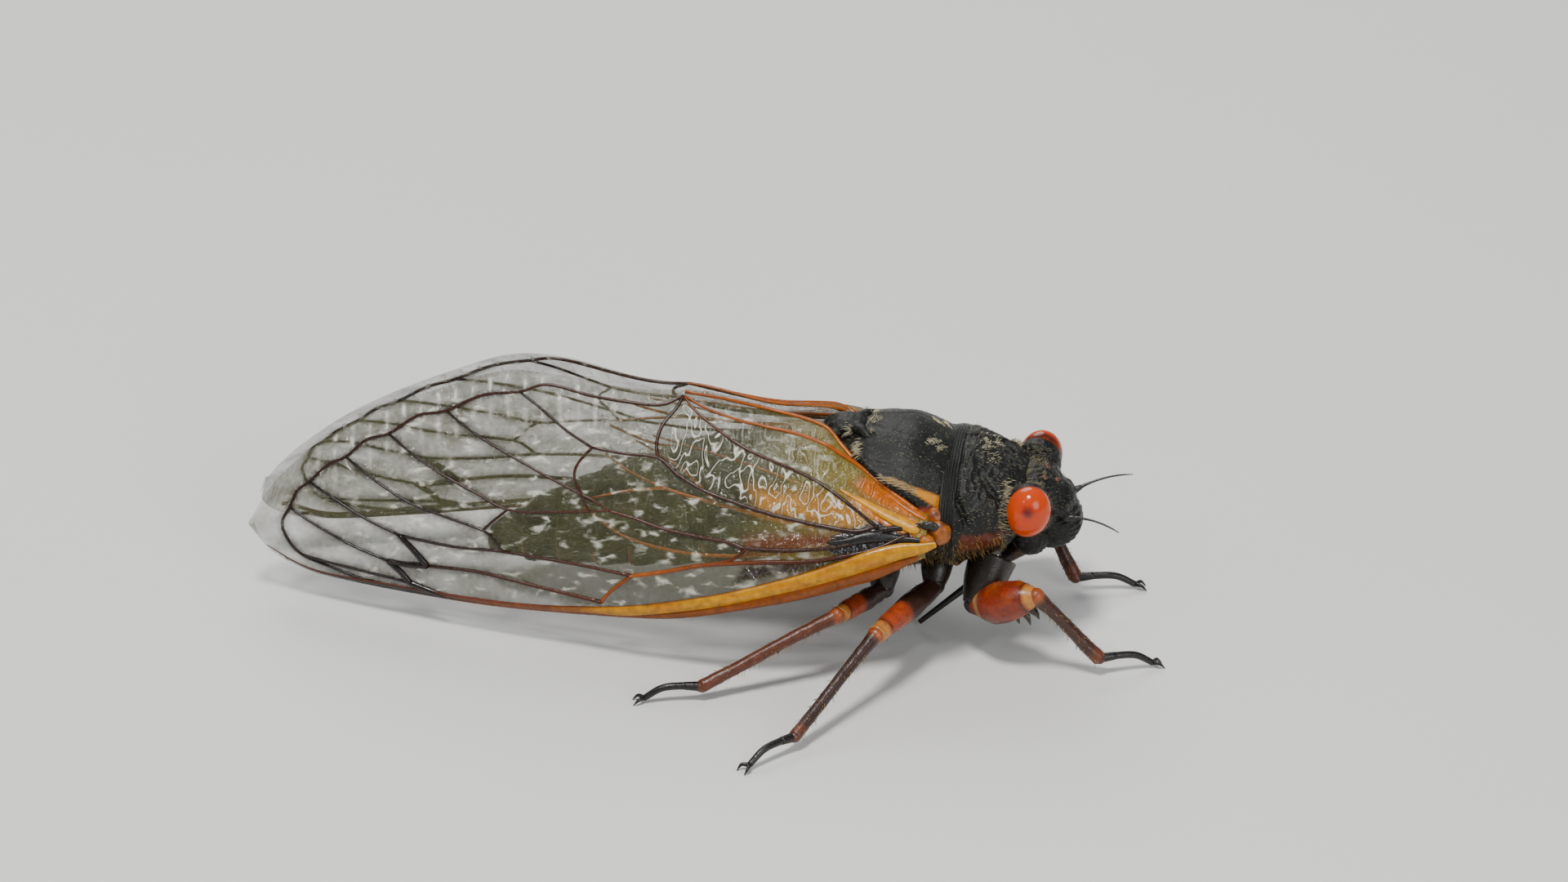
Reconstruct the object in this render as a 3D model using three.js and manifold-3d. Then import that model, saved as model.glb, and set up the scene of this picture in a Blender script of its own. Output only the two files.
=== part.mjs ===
// A periodical cicada at rest on its six feet, life size, in millimetres.
// +X runs to the head, +Y to the animal's left and +Z up. Every form is laid out about the middle of the
// thorax, and the finished group is set down with its soles on Z = 0 and its origin under the middle of its box.

import * as THREE from "three";
import { mergeVertices } from "three/addons/utils/BufferGeometryUtils.js";
import Module from "manifold-3d";

const wasm = await Module();
wasm.setup();

// Driving sizes
const gap = 0.3; // kept between parts that touch
const stance = 7.0; // floor to the middle of the thorax
const wingReach = 33.2; // hinge to wing tip
const wingThickness = 0.5;
const eyeSize = [1.02, 1.0, 1.28]; // half sizes along, across and up
const eyeAt = [4.5, 2.75, 0.72];

// Colours, roughness and metalness of each finish
const finish = (color, roughness) =>
  new THREE.MeshStandardMaterial({ color, roughness, metalness: 0 });
const finishes = {
  shell: finish(0x1c1e1b, 0.45),
  eye: finish(0xd8340f, 0.2),
  orange: finish(0xc4511a, 0.4),
  brown: finish(0x5a2c14, 0.45),
  black: finish(0x171310, 0.4),
  wing: finish(0xb9ad7a, 0.3),
};

// Reads a table of [place, value] rows at any place, with no overshoot between its rows.
function smoothAt(knots, place) {
  const last = knots.length - 1;
  if (place <= knots[0][0]) return knots[0][1];
  if (place >= knots[last][0]) return knots[last][1];
  const i = knots.findIndex((knot) => knot[0] > place) - 1;
  const slope = (j) => (knots[j + 1][1] - knots[j][1]) / (knots[j + 1][0] - knots[j][0]);
  const bend = (j) => {
    if (j === 0) return slope(0);
    if (j === last) return slope(last - 1);
    const before = slope(j - 1);
    const after = slope(j);
    return before * after <= 0 ? 0 : (2 * before * after) / (before + after);
  };
  const span = knots[i + 1][0] - knots[i][0];
  const t = (place - knots[i][0]) / span;
  const rise = t * t * (3 - 2 * t);
  const leave = bend(i) * span * t * (1 - t) * (1 - t);
  const arrive = bend(i + 1) * span * t * t * (1 - t);
  return knots[i][1] * (1 - rise) + knots[i + 1][1] * rise + leave - arrive;
}

// Turns a closed geometry into a solid that faces out.
function solid(geometry) {
  geometry.deleteAttribute("normal");
  geometry.deleteAttribute("uv");
  const merged = mergeVertices(geometry, 1e-4);
  const make = (order) => {
    const triVerts = new Uint32Array(merged.index.count);
    for (let i = 0; i < triVerts.length; i += 3)
      order.forEach((k, j) => (triVerts[i + j] = merged.index.getX(i + k)));
    const vertProperties = merged.attributes.position.array;
    return new wasm.Manifold(new wasm.Mesh({ numProp: 3, vertProperties, triVerts }));
  };
  const made = make([0, 1, 2]);
  return made.volume() > 0 ? made : make([0, 2, 1]);
}

const keepLargest = (shape) =>
  shape.decompose().reduce((best, body) => (body.volume() > best.volume() ? body : best));
const join = (...shapes) => shapes.reduce((whole, shape) => whole.add(shape));
const clearOf = (shape, ...others) => others.reduce((left, other) => left.subtract(other), shape);

// A body form along X. Each station is [x, middle height, half width, rise, fall].
function loft(stations, { rings = 10, sides = 18, grow = 0, square = 2 } = {}) {
  const geometry = new THREE.CylinderGeometry(1, 1, 1, sides, rings);
  const place = geometry.attributes.position;
  const last = stations.length - 1;
  const facing = Math.sign(stations[0][0] - stations[last][0]);
  const rows = [...stations].sort((a, b) => a[0] - b[0]);
  const column = (k, x) => smoothAt(rows.map((row) => [row[0], row[k]]), x);
  const round = (c) => Math.sign(c) * Math.abs(c) ** (2 / square);
  for (let i = 0; i < place.count; i++) {
    const t = 0.5 - place.getY(i);
    const across = place.getX(i);
    const up = place.getZ(i);
    const index = Math.min(Math.floor(t * last), last - 1);
    const x = THREE.MathUtils.lerp(stations[index][0], stations[index + 1][0], t * last - index);
    const reach = column(up > 0 ? 3 : 4, x) + grow;
    const y = (column(2, x) + grow) * round(across);
    const z = column(1, x) + reach * round(up);
    place.setXYZ(i, x + grow * facing * (1 - 2 * t), y, z);
  }
  return solid(geometry);
}

// A limb through a few points, with a radius at each. flat thins it along its upright direction.
function limb(points, radii, { sides = 8, steps = 6, grow = 0, flat = 1 } = {}) {
  const curve = new THREE.CatmullRomCurve3(points.map((p) => new THREE.Vector3(...p)));
  const knots = radii.map((radius, i) => [i / (radii.length - 1), radius]);
  const geometry = new THREE.CylinderGeometry(1, 1, 1, sides, steps);
  const place = geometry.attributes.position;
  const point = new THREE.Vector3();
  const ahead = new THREE.Vector3();
  const side = new THREE.Vector3();
  const upright = new THREE.Vector3(0, 0, 1);
  for (let i = 0; i < place.count; i++) {
    const t = THREE.MathUtils.clamp(0.5 - place.getY(i), 0, 1);
    curve.getPoint(t, point);
    curve.getTangent(t, ahead);
    side.crossVectors(ahead, upright).normalize();
    const rise = new THREE.Vector3().crossVectors(side, ahead);
    const radius = smoothAt(knots, t);
    point.addScaledVector(side, place.getX(i) * (radius + grow));
    point.addScaledVector(rise, place.getZ(i) * (radius * flat + grow));
    point.addScaledVector(ahead, grow * (2 * t - 1));
    place.setXYZ(i, point.x, point.y, point.z);
  }
  return solid(geometry);
}

// A ball with its own half sizes, tipped by an angle about Y.
function ball(middle, sizes, { sides = 18, rings = 12, grow = 0, tip = 0 } = {}) {
  const geometry = new THREE.SphereGeometry(1, sides, rings);
  geometry.scale(...sizes.map((size) => size + grow));
  geometry.rotateY(tip);
  geometry.translate(...middle);
  return solid(geometry);
}

// A block between two corners, used to part one form from the next.
function block(low, high) {
  const size = high.map((value, i) => value - low[i]);
  const geometry = new THREE.BoxGeometry(...size);
  geometry.translate(...low.map((value, i) => value + size[i] / 2));
  return solid(geometry);
}

// The wings. A place on one is a distance out from the hinge and a distance across, up from the wing's midline.
// The two midlines draw together towards the tips, where the left wing stands a little above the right.
const midlineAcross = [[0, 4.45], [7, 4.2], [15, 3.66], [20, 3.22], [26, 2.25], [wingReach, 0.85]];
const midlineHeight = [[0, 0.5], [12, -0.68], [20, -1.68], [26, -2.56], [wingReach, -3.75]];
const leftRise = [[0, 0], [13, 0], [19, 0.4], [wingReach, 0.4]];
const wingTilt = [[0, 46], [7, 46], [12, 56], [20, 68], [wingReach, 72]];
const wingCamber = 1.2;
const foreCostal = [
  [0, -1.5], [3.5, -2.9], [7.9, -3.8], [12.3, -4.4], [16.5, -4.2], [22.9, -3.6], [29.3, -2.6], [30.7, -2.2],
  [31.8, -1.7], [32.8, -0.9], [33.1, -0.4], [wingReach, -0.1],
];
const foreHind = [
  [0, 0.5], [1.3, 1.3], [2.4, 2.0], [3.3, 2.8], [4.4, 3.9], [5.4, 5.0], [7.4, 5.6], [12.1, 6.4], [14, 6.4],
  [18, 7.1], [20.3, 7.4], [23.6, 6.6], [26.5, 5.6], [28.5, 4.7], [30.5, 3.4], [31.6, 2.5], [32.5, 1.5],
  [33, 0.7], [wingReach, 0.3],
];
const rearCostal = [[1.6, -0.3], [6, -1.6], [11, -1.7], [15, -0.4], [17, 1.4]];
const rearHind = [[1.6, 0.4], [4, 1.9], [7, 3.6], [11, 4.8], [15, 4.4], [17, 2.2]];

// side is 1 on the left and -1 on the right, and lift goes out from the middle of the forewing's membrane.
function wingPoint(side, out, across, lift) {
  const tilt = THREE.MathUtils.degToRad(smoothAt(wingTilt, out));
  const low = smoothAt(foreCostal, out);
  const share = (across - low) / (smoothAt(foreHind, out) - low);
  const flatter = 0.35 + 0.65 * THREE.MathUtils.smoothstep(out, 0, 5);
  const bulge = Math.max(0, wingCamber * 4 * share * (1 - share)) * flatter + lift;
  const y = smoothAt(midlineAcross, out) - Math.cos(tilt) * across + Math.sin(tilt) * bulge;
  const z = smoothAt(midlineHeight, out) + Math.sin(tilt) * across + Math.cos(tilt) * bulge;
  return [-0.9915 * out, side * y, z + (side > 0 ? smoothAt(leftRise, out) : 0)];
}

// A wing's membrane as a thin closed slab, with the same triangles on both faces.
function membrane(side, costal, hind, { lift = 0, grow = 0, columns = 24, rows = 7 } = {}) {
  const first = costal[0][0];
  const last = costal[costal.length - 1][0];
  const half = wingThickness / 2 + grow;
  const points = [];
  for (let i = 0; i <= columns; i++) {
    const share = Math.sin((i / columns) * Math.PI * 0.5) * 0.5 + (i / columns) * 0.5;
    const out = first + (last - first) * share;
    const low = smoothAt(costal, out) - grow;
    const high = smoothAt(hind, out) + grow;
    const reach = out + grow * (2 * share - 1);
    for (let j = 0; j <= rows; j++) {
      const across = THREE.MathUtils.lerp(low, high, j / rows);
      points.push(...wingPoint(side, reach, across, lift + half));
      points.push(...wingPoint(side, reach, across, lift - half));
    }
  }
  const at = (i, j, face) => (i * (rows + 1) + j) * 2 + face;
  const faces = [];
  const quad = (a, b, c, d) => faces.push(a, b, c, a, c, d);
  for (let i = 0; i < columns; i++)
    for (let j = 0; j < rows; j++) {
      quad(at(i, j, 0), at(i + 1, j, 0), at(i + 1, j + 1, 0), at(i, j + 1, 0));
      faces.push(at(i, j, 1), at(i + 1, j + 1, 1), at(i + 1, j, 1));
      faces.push(at(i, j, 1), at(i, j + 1, 1), at(i + 1, j + 1, 1));
    }
  for (let i = 0; i < columns; i++) {
    quad(at(i, 0, 0), at(i, 0, 1), at(i + 1, 0, 1), at(i + 1, 0, 0));
    quad(at(i, rows, 0), at(i + 1, rows, 0), at(i + 1, rows, 1), at(i, rows, 1));
  }
  for (let j = 0; j < rows; j++) {
    quad(at(0, j, 0), at(0, j + 1, 0), at(0, j + 1, 1), at(0, j, 1));
    quad(at(columns, j, 0), at(columns, j, 1), at(columns, j + 1, 1), at(columns, j + 1, 0));
  }
  const geometry = new THREE.BufferGeometry();
  geometry.setAttribute("position", new THREE.Float32BufferAttribute(points, 3));
  geometry.setIndex(faces);
  return solid(geometry);
}

// Main veins: their routes as [out, across], and the height of their ridge
const veins = {
  costa: [0.28, [0.4, -1.3], [3.5, -2.55], [7.9, -3.45], [12.3, -4.0], [17, -3.85], [23, -3.3], [28, -2.5], [30.5, -1.5]],
  margin: [0.2, [12.3, 6.0], [16.6, 6.2], [19.9, 6.4], [23.5, 5.5], [26.3, 4.4], [28.4, 3.3], [30.2, 2.1], [31.3, 0.6], [30.5, -1.5]],
  radius: [0.26, [1.2, -0.5], [5.1, -1.9], [10.5, -2.0], [13.9, -2.4], [20.3, -1.1], [25.5, -0.4], [30.2, 2.1]],
  media: [0.22, [2.4, -0.5], [4.2, -1.15], [8.4, -1.3], [12.3, -0.3], [15.2, 0.7], [20.1, 0.9], [26.3, 4.4]],
  cubitus: [0.24, [2.4, -0.2], [6.3, 0], [10.7, 1.5], [13, 3.1], [16.2, 3.7], [19.9, 6.4]],
  claval: [0.22, [0.8, 0.5], [3.4, 2.6], [6.8, 4.2], [9.6, 4.9], [12.1, 5.9]],
  arc: [0.2, [13, 3.1], [13, 4.5], [12.3, 6.0]],
  fourth: [0.18, [20.3, -1.1], [21.3, -0.1], [25, 1.2], [28.4, 3.3]],
};

// One vein as a ridge of three sides, its feet sunk in the outer face of the wing
function ridge(side, [height, ...route]) {
  const curve = new THREE.CatmullRomCurve3(route.map(([out, across]) => new THREE.Vector3(out, across, 0)));
  const steps = route.length * 2 - 2;
  const points = [];
  for (let i = 0; i <= steps; i++) {
    const at = curve.getPoint(i / steps);
    const ahead = curve.getTangent(i / steps);
    for (const [sway, lift] of [[-1, -0.1], [0, height + 0.06], [1, -0.1]]) {
      const reach = sway * height * 0.9;
      points.push(...wingPoint(side, at.x - ahead.y * reach, at.y + ahead.x * reach, wingThickness / 2 + lift));
    }
  }
  const faces = [0, 1, 2, steps * 3, steps * 3 + 2, steps * 3 + 1];
  for (let i = 0; i < steps; i++)
    for (let j = 0; j < 3; j++) {
      const a = i * 3 + j;
      const b = i * 3 + ((j + 1) % 3);
      faces.push(a, a + 3, b + 3, a, b + 3, b);
    }
  const geometry = new THREE.BufferGeometry();
  geometry.setAttribute("position", new THREE.Float32BufferAttribute(points, 3));
  geometry.setIndex(faces);
  return solid(geometry);
}

const forewing = (side, grow = 0) => membrane(side, foreCostal, foreHind, { grow });
const veinedForewing = (side) => join(forewing(side), ...Object.values(veins).map((vein) => ridge(side, vein)));
const hindwing = (side, grow = 0) =>
  membrane(side, rearCostal, rearHind, { grow, lift: -(wingThickness + gap), columns: 12, rows: 5 });

// The trunk forms, from the head back
const headStations = [
  [6.05, 0.05, 1.3, 0.6, 0.9],
  [5.7, 0.1, 2.0, 0.95, 1.25],
  [5.1, 0.15, 2.75, 1.25, 1.7],
  [4.3, 0.2, 3.05, 1.5, 2.0],
  [3.5, 0.2, 3.0, 1.6, 2.2],
];
const head = (grow = 0) => loft(headStations, { rings: 8, sides: 20, grow });
const noseAt = [5.2, 0, -0.95];
const noseSize = [1.65, 1.5, 1.55];
const nose = (grow = 0) => ball(noseAt, noseSize, { sides: 16, rings: 12, grow, tip: 0.25 });

const pronotumStations = [
  [3.85, 0.05, 2.9, 1.7, 2.1],
  [3.4, 0.0, 3.25, 2.05, 2.5],
  [2.4, 0.0, 3.7, 2.45, 2.9],
  [1.5, 0.0, 4.15, 2.75, 3.1],
  [0.9, 0.0, 4.6, 2.85, 3.1],
  [0.5, 0.0, 4.4, 2.78, 3.0],
];
const prothoraxForm = (grow = 0) => loft(pronotumStations, { rings: 10, sides: 22, grow });

const mesothoraxStations = [
  [0.9, 0.0, 3.4, 2.55, 2.9],
  [0.0, 0.0, 3.85, 3.15, 3.2],
  [-1.5, 0.0, 4.1, 3.6, 3.5],
  [-3.0, 0.0, 3.95, 3.55, 3.6],
  [-4.2, 0.0, 3.5, 3.1, 3.5],
  [-5.3, -0.1, 3.0, 2.6, 3.3],
];
const shoulderAt = [-0.7, 3.75, 0.2]; // where the forewing is hinged
const shoulderSize = [1.5, 0.95, 1.0];
const shoulders = (grow) =>
  [-1, 1].map((side) =>
    ball([shoulderAt[0], shoulderAt[1] * side, shoulderAt[2]], shoulderSize, { sides: 12, rings: 8, grow }));
const mesothoraxForm = (grow = 0) =>
  join(loft(mesothoraxStations, { rings: 10, sides: 22, grow }), ...shoulders(grow));

const abdomenStations = [
  [-5.6, -0.1, 2.9, 2.7, 3.1],
  [-7.5, -0.5, 3.25, 2.9, 3.1],
  [-10.5, -1.1, 3.25, 2.9, 3.0],
  [-14, -2.0, 2.85, 2.5, 2.6],
  [-17.5, -3.0, 2.05, 1.9, 1.9],
  [-19.8, -3.7, 1.3, 1.25, 1.2],
];
// Each ring of the abdomen swells to its hind edge and laps over the next.
const ringCount = 8;
const ringLap = 0.12;
function abdomenForm(grow = 0) {
  const first = abdomenStations[0][0];
  const length = abdomenStations[abdomenStations.length - 1][0] - first;
  const rows = [...abdomenStations].reverse();
  const station = (x, swell) =>
    [x, ...[1, 2, 3, 4].map((k) => smoothAt(rows.map((row) => [row[0], row[k]]), x) + (k > 1 ? swell : 0))];
  const stations = [];
  for (let i = 0; i < ringCount; i++) {
    stations.push(station(first + (length * i) / ringCount, 0));
    stations.push(station(first + (length * (i + 0.93)) / ringCount, ringLap));
  }
  stations.push(station(first + length, 0));
  return loft(stations, { rings: stations.length - 1, sides: 20, grow });
}
const tailStations = [
  [-20.0, -3.75, 1.2, 1.1, 1.1],
  [-20.8, -4.0, 0.95, 0.85, 0.85],
  [-21.7, -4.3, 0.35, 0.3, 0.35],
];

// The X-shaped lift at the rear of the mesonotum
const crossAt = [-4.6, 0, 3.0];
function crossRidge() {
  const arms = [-1, 1].flatMap((side) => [
    limb([[-4.2, 0.2 * side, 3.15], [-3.3, 1.3 * side, 2.95]], [0.4, 0.25], { steps: 2, sides: 6 }),
    limb([[-4.8, 0.2 * side, 3.1], [-5.5, 1.4 * side, 2.3]], [0.4, 0.3], { steps: 2, sides: 6 }),
  ]);
  return join(ball(crossAt, [0.9, 0.75, 0.45], { sides: 10, rings: 6 }), ...arms);
}

// The legs: where each joint stands, on its own side, and how thick each pair is
const girths = {
  front: { coxa: [1.15, 1.0, 0.6], femur: [0.6, 1.06, 0.88, 0.45], tibia: [0.42, 0.33, 0.4], tarsus: 0.26 },
  mid: { coxa: [0.8, 0.7, 0.45], femur: [0.45, 0.62, 0.55, 0.45], tibia: [0.4, 0.33, 0.36], tarsus: 0.26 },
  hind: { coxa: [0.9, 0.8, 0.5], femur: [0.4, 0.5, 0.5, 0.45], tibia: [0.4, 0.34, 0.38], tarsus: 0.26 },
};
const legs = [
  ["front", "right", { root: [2.8, -1.7, -2.4], hip: [2.1, -3.1, -4.3], knee: [5.1, -4.4, -2.85], ankle: [8.1, -4.07, -6.15], toe: [10.55, -3.1] }],
  ["front", "left", { root: [2.8, 1.7, -2.4], hip: [2.1, 3.1, -4.6], knee: [4.3, 5.2, -3.4], ankle: [6.24, 3.62, -6.3], toe: [9.1, 4.15] }],
  ["mid", "right", { root: [0.2, -2.0, -2.6], hip: [0.15, -3.0, -3.5], knee: [-2.0, -7.7, -3.6], ankle: [-5.1, -12.8, -6.3], toe: [-6.9, -14.8] }],
  ["mid", "left", { root: [0.2, 2.0, -2.6], hip: [0.3, 3.0, -3.5], knee: [1.0, 7.5, -0.9], ankle: [-0.6, 11.2, -6.3], toe: [-2.7, 12.9] }],
  ["hind", "right", { root: [-2.4, -1.8, -2.6], hip: [-2.3, -2.6, -4.1], knee: [-4.0, -6.15, -3.6], ankle: [-10.0, -8.95, -6.3], toe: [-12.6, -9.6] }],
  ["hind", "left", { root: [-2.4, 1.8, -2.6], hip: [-2.3, 2.6, -4.1], knee: [-4.0, 6.15, -3.6], ankle: [-10.0, 8.95, -6.3], toe: [-12.6, 9.6] }],
];
const between = (a, b, share) => a.map((value, i) => value + (b[i] - value) * share);

const coxa = (leg, girth, grow = 0) =>
  limb([leg.root, between(leg.root, leg.hip, 0.5), leg.hip], girth.coxa, { grow, steps: 4, sides: 10 });
const femur = (leg, girth, grow = 0) =>
  limb([leg.hip, between(leg.hip, leg.knee, 0.4), between(leg.hip, leg.knee, 0.7), leg.knee], girth.femur, { grow });
const tibia = (leg, girth, grow = 0) =>
  limb([leg.knee, between(leg.knee, leg.ankle, 0.5), leg.ankle], girth.tibia, { grow, steps: 4 });

// Spines stand off a joint's line at a share of its length: two under the front femur, and a few down each shin.
const thorn = (from, to, lean, share, length, radius) => {
  const foot = between(from, to, share);
  const tip = foot.map((value, i) => value + lean[i] * length);
  return limb([foot, tip], [radius, 0.05], { steps: 1, sides: 5 });
};
const femurThorns = (leg) =>
  [[0.42, 1.15], [0.68, 1.3]].map(([share, length]) =>
    thorn(leg.hip, leg.knee, [0.15, 0, -1], share, length, 0.3));
const shinThorns = (leg, side) =>
  [[0.45, 1], [0.65, -1], [0.82, 1]].map(([share, turn]) =>
    thorn(leg.knee, leg.ankle, [-0.35 * turn, side * 0.8 * turn, -0.35], share, 0.75, 0.15));

// The foot arches from the ankle to the toe and ends in two claws, all cut flat at the floor.
const floor = block([-40, -20, -stance - 3], [20, 20, -stance]);
function tarsus(leg, girth) {
  const radius = girth.tarsus;
  const toe = [...leg.toe, -stance + 0.22];
  const arch = between(leg.ankle, toe, 0.55);
  const along = new THREE.Vector3(...toe).sub(new THREE.Vector3(...leg.ankle)).setZ(0).normalize();
  const shin = limb([leg.ankle, [arch[0], arch[1], arch[2] + 0.12], toe], [radius, radius, radius], { steps: 5, sides: 8 });
  const claws = [-1, 1].map((side) => {
    const spread = 0.28 * side;
    const tip = [toe[0] + along.x * 0.5 - along.y * spread, toe[1] + along.y * 0.5 + along.x * spread, -stance];
    return limb([toe, [tip[0], tip[1], toe[2] + 0.02], tip], [0.16, 0.12, 0.06], { steps: 3, sides: 5 });
  });
  return join(shin, ...claws);
}

// Feelers and beak
const feelerRoot = [6.3, 1.35, -0.25];
const feelerTips = { right: [8.7, 2.0, -0.52], left: [8.95, 2.1, 0.38] };
function feeler(name, side) {
  const tip = feelerTips[name];
  const arch = [0.35, 0.7].map((share) => {
    const [x, y, z] = between(feelerRoot, tip, share);
    return [x, y * side, z + 0.22];
  });
  const ends = [feelerRoot, tip].map(([x, y, z]) => [x, y * side, z]);
  return limb([ends[0], ...arch, ends[1]], [0.26, 0.22, 0.14, 0.08], { steps: 6, sides: 6 });
}
const beak = () =>
  limb([[4.3, 0, -2.3], [3.1, -0.15, -3.4], [0.9, -0.6, -5.3], [-0.75, -0.95, -6.7]], [0.6, 0.4, 0.28, 0.2], {
    steps: 6,
  });

// The parts, each cut clear of what it grows from
const shapes = new Map();
const colours = new Map();
function part(name, colour, shape) {
  shapes.set(name, keepLargest(shape));
  colours.set(name, colour);
}
const sides = [["right", -1], ["left", 1]];
const grownForewings = sides.map(([, side]) => forewing(side, gap));
const grownHindwings = sides.map(([, side]) => hindwing(side, gap));
const wings = [...grownForewings, ...grownHindwings];
const eyeBall = (side, grow = 0) =>
  ball([eyeAt[0], eyeAt[1] * side, eyeAt[2]], eyeSize, { grow, tip: 0.2, sides: 18, rings: 12 });

const waist = 0.7; // height where the mesonotum meets the side of the thorax
const collarDrop = -1.9; // height where the pronotum meets the underside
const above = (level) => block([-30, -10, level], [10, 10, 10]);
const below = (level) => block([-30, -10, -10], [10, 10, level]);

const eyes = sides.map(([, side]) => eyeBall(side, gap));
part("head", "shell", clearOf(head(), ...eyes, nose(gap), prothoraxForm(gap)));
part("postclypeus", "shell", nose());
const collar = clearOf(prothoraxForm(), mesothoraxForm(gap), nose(gap), ...eyes, ...wings);
const saddle = clearOf(join(mesothoraxForm(), crossRidge()), abdomenForm(gap), ...wings);
part("pronotum", "shell", clearOf(collar, below(collarDrop + gap / 2)));
part("prothorax", "brown", clearOf(collar, above(collarDrop - gap / 2)));
part("mesonotum", "shell", clearOf(saddle, below(waist + gap / 2)));
part("thorax", "shell", clearOf(mesothoraxForm(), above(waist - gap / 2), ...wings));
part("abdomen", "shell", clearOf(abdomenForm(), mesothoraxForm(gap), ...wings));
part("genital_capsule", "shell", clearOf(loft(tailStations, { rings: 4, sides: 12 }), abdomenForm(gap)));

for (const [name, side] of sides) {
  part(`eye_${name}`, "eye", eyeBall(side));
  part(`antenna_${name}`, "black", clearOf(feeler(name, side), head(gap), nose(gap), ...eyes));
  part(`forewing_${name}`, "wing", veinedForewing(side));
  part(`hindwing_${name}`, "wing", hindwing(side));
}

// The two plates under the base of the abdomen
const plateAt = [-5.9, 1.5, -3.25];
const plateSize = [1.5, 1.2, 0.55];
const plate = (side, grow = 0) =>
  ball([plateAt[0], plateAt[1] * side, plateAt[2]], plateSize, { sides: 14, rings: 8, grow });

const trunkGrown = join(prothoraxForm(gap), mesothoraxForm(gap));
for (const [pair, name, leg] of legs) {
  const girth = girths[pair];
  const shade = pair === "front" ? "orange" : "brown";
  part(`${pair}_coxa_${name}`, "black", clearOf(coxa(leg, girth), trunkGrown));
  const side = name === "left" ? 1 : -1;
  const thigh = pair === "front" ? join(femur(leg, girth), ...femurThorns(leg)) : femur(leg, girth);
  const shin = pair === "front" ? tibia(leg, girth) : join(tibia(leg, girth), ...shinThorns(leg, side));
  part(`${pair}_femur_${name}`, shade, clearOf(thigh, coxa(leg, girth, gap)));
  part(`${pair}_tibia_${name}`, "brown", clearOf(shin, femur(leg, girth, gap)));
  part(`${pair}_tarsus_${name}`, "black", clearOf(tarsus(leg, girth), tibia(leg, girth, gap), floor));
}
for (const [name, side] of sides)
  part(`operculum_${name}`, "shell", clearOf(plate(side), mesothoraxForm(gap), abdomenForm(gap)));
part("rostrum", "black", clearOf(beak(), head(gap), nose(gap), prothoraxForm(gap), floor));

const cicada = new THREE.Group();
for (const [name, shape] of shapes) {
  const { numProp, vertProperties, triVerts } = shape.getMesh();
  const geometry = new THREE.BufferGeometry();
  const places = new THREE.InterleavedBuffer(vertProperties, numProp);
  geometry.setAttribute("position", new THREE.InterleavedBufferAttribute(places, 3, 0));
  geometry.setIndex(new THREE.BufferAttribute(triVerts, 1));
  const mesh = new THREE.Mesh(geometry, finishes[colours.get(name)]);
  mesh.name = name;
  cicada.add(mesh);
}
const box = new THREE.Box3().setFromObject(cicada);
cicada.position.set(-(box.min.x + box.max.x) / 2, -(box.min.y + box.max.y) / 2, stance);

export default cicada;
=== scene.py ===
import bpy
import math
import random
import numpy as np
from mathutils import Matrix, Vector, noise


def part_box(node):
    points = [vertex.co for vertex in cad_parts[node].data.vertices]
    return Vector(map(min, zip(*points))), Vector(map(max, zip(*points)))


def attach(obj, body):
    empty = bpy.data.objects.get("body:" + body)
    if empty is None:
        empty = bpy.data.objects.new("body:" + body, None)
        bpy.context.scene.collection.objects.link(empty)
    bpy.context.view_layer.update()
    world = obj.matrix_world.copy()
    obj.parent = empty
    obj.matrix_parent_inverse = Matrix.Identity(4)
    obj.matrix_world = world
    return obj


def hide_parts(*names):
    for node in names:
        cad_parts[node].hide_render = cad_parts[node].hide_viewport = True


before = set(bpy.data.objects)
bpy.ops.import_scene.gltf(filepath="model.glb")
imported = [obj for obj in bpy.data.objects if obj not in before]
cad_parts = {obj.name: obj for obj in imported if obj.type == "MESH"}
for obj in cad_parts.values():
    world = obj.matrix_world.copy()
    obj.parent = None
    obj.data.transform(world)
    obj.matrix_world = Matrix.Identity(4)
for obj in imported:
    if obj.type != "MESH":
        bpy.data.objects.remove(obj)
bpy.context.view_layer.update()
bpy.ops.object.select_all(action="DESELECT")
random.seed(17)

# Every piece is modelled in millimetres about the middle of the thorax, +X to the head and +Y to the
# animal's left, and settle() puts it in the frame. The right eye's solid tells where that middle is.
mm = 0.001
eyeAt = (4.5, 2.75, 0.72)  # the left eye, and the right one mirrors it
eyeLow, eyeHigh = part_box("eye_right")
middle = (eyeLow + eyeHigh) / 2 - Vector((eyeAt[0], -eyeAt[1], eyeAt[2])) * mm
floorLevel = -middle.z / mm
sides = {"right": -1, "left": 1}


# ---- shared helpers

def smoothAt(knots, place):
    # reads rows of (place, value) at any places, with no overshoot between the rows
    xs, ys = np.array([k[0] for k in knots], float), np.array([k[1] for k in knots], float)
    place = np.clip(np.asarray(place, float), xs[0], xs[-1])
    slope = np.diff(ys) / np.diff(xs)
    bend = np.zeros(len(xs))
    bend[0], bend[-1] = slope[0], slope[-1]
    both = slope[:-1] * slope[1:]
    bend[1:-1] = np.where(both > 0, 2 * both / np.where(both > 0, slope[:-1] + slope[1:], 1), 0)
    i = np.clip(np.searchsorted(xs, place, side="right") - 1, 0, len(xs) - 2)
    span = xs[i + 1] - xs[i]
    t = (place - xs[i]) / span
    rise = t * t * (3 - 2 * t)
    leave, arrive = bend[i] * span * t * (1 - t) ** 2, bend[i + 1] * span * t * t * (1 - t)
    return ys[i] * (1 - rise) + ys[i + 1] * rise + leave - arrive


def ease(value, start, end):
    t = np.clip((value - start) / (end - start), 0, 1)
    return t * t * (3 - 2 * t)


def between(value, start, full, fade, end):
    # rises from 0 to 1 over the first two places and falls back over the last two
    return ease(value, start, full) * (1 - ease(value, fade, end))


def mirrored(points, side):
    return np.array(points, float) * np.array([1, side, 1])


def sideless(points):
    # x, y and z with the same y on both sides of the body
    return points[:, 0], np.abs(points[:, 1]), points[:, 2]


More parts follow.
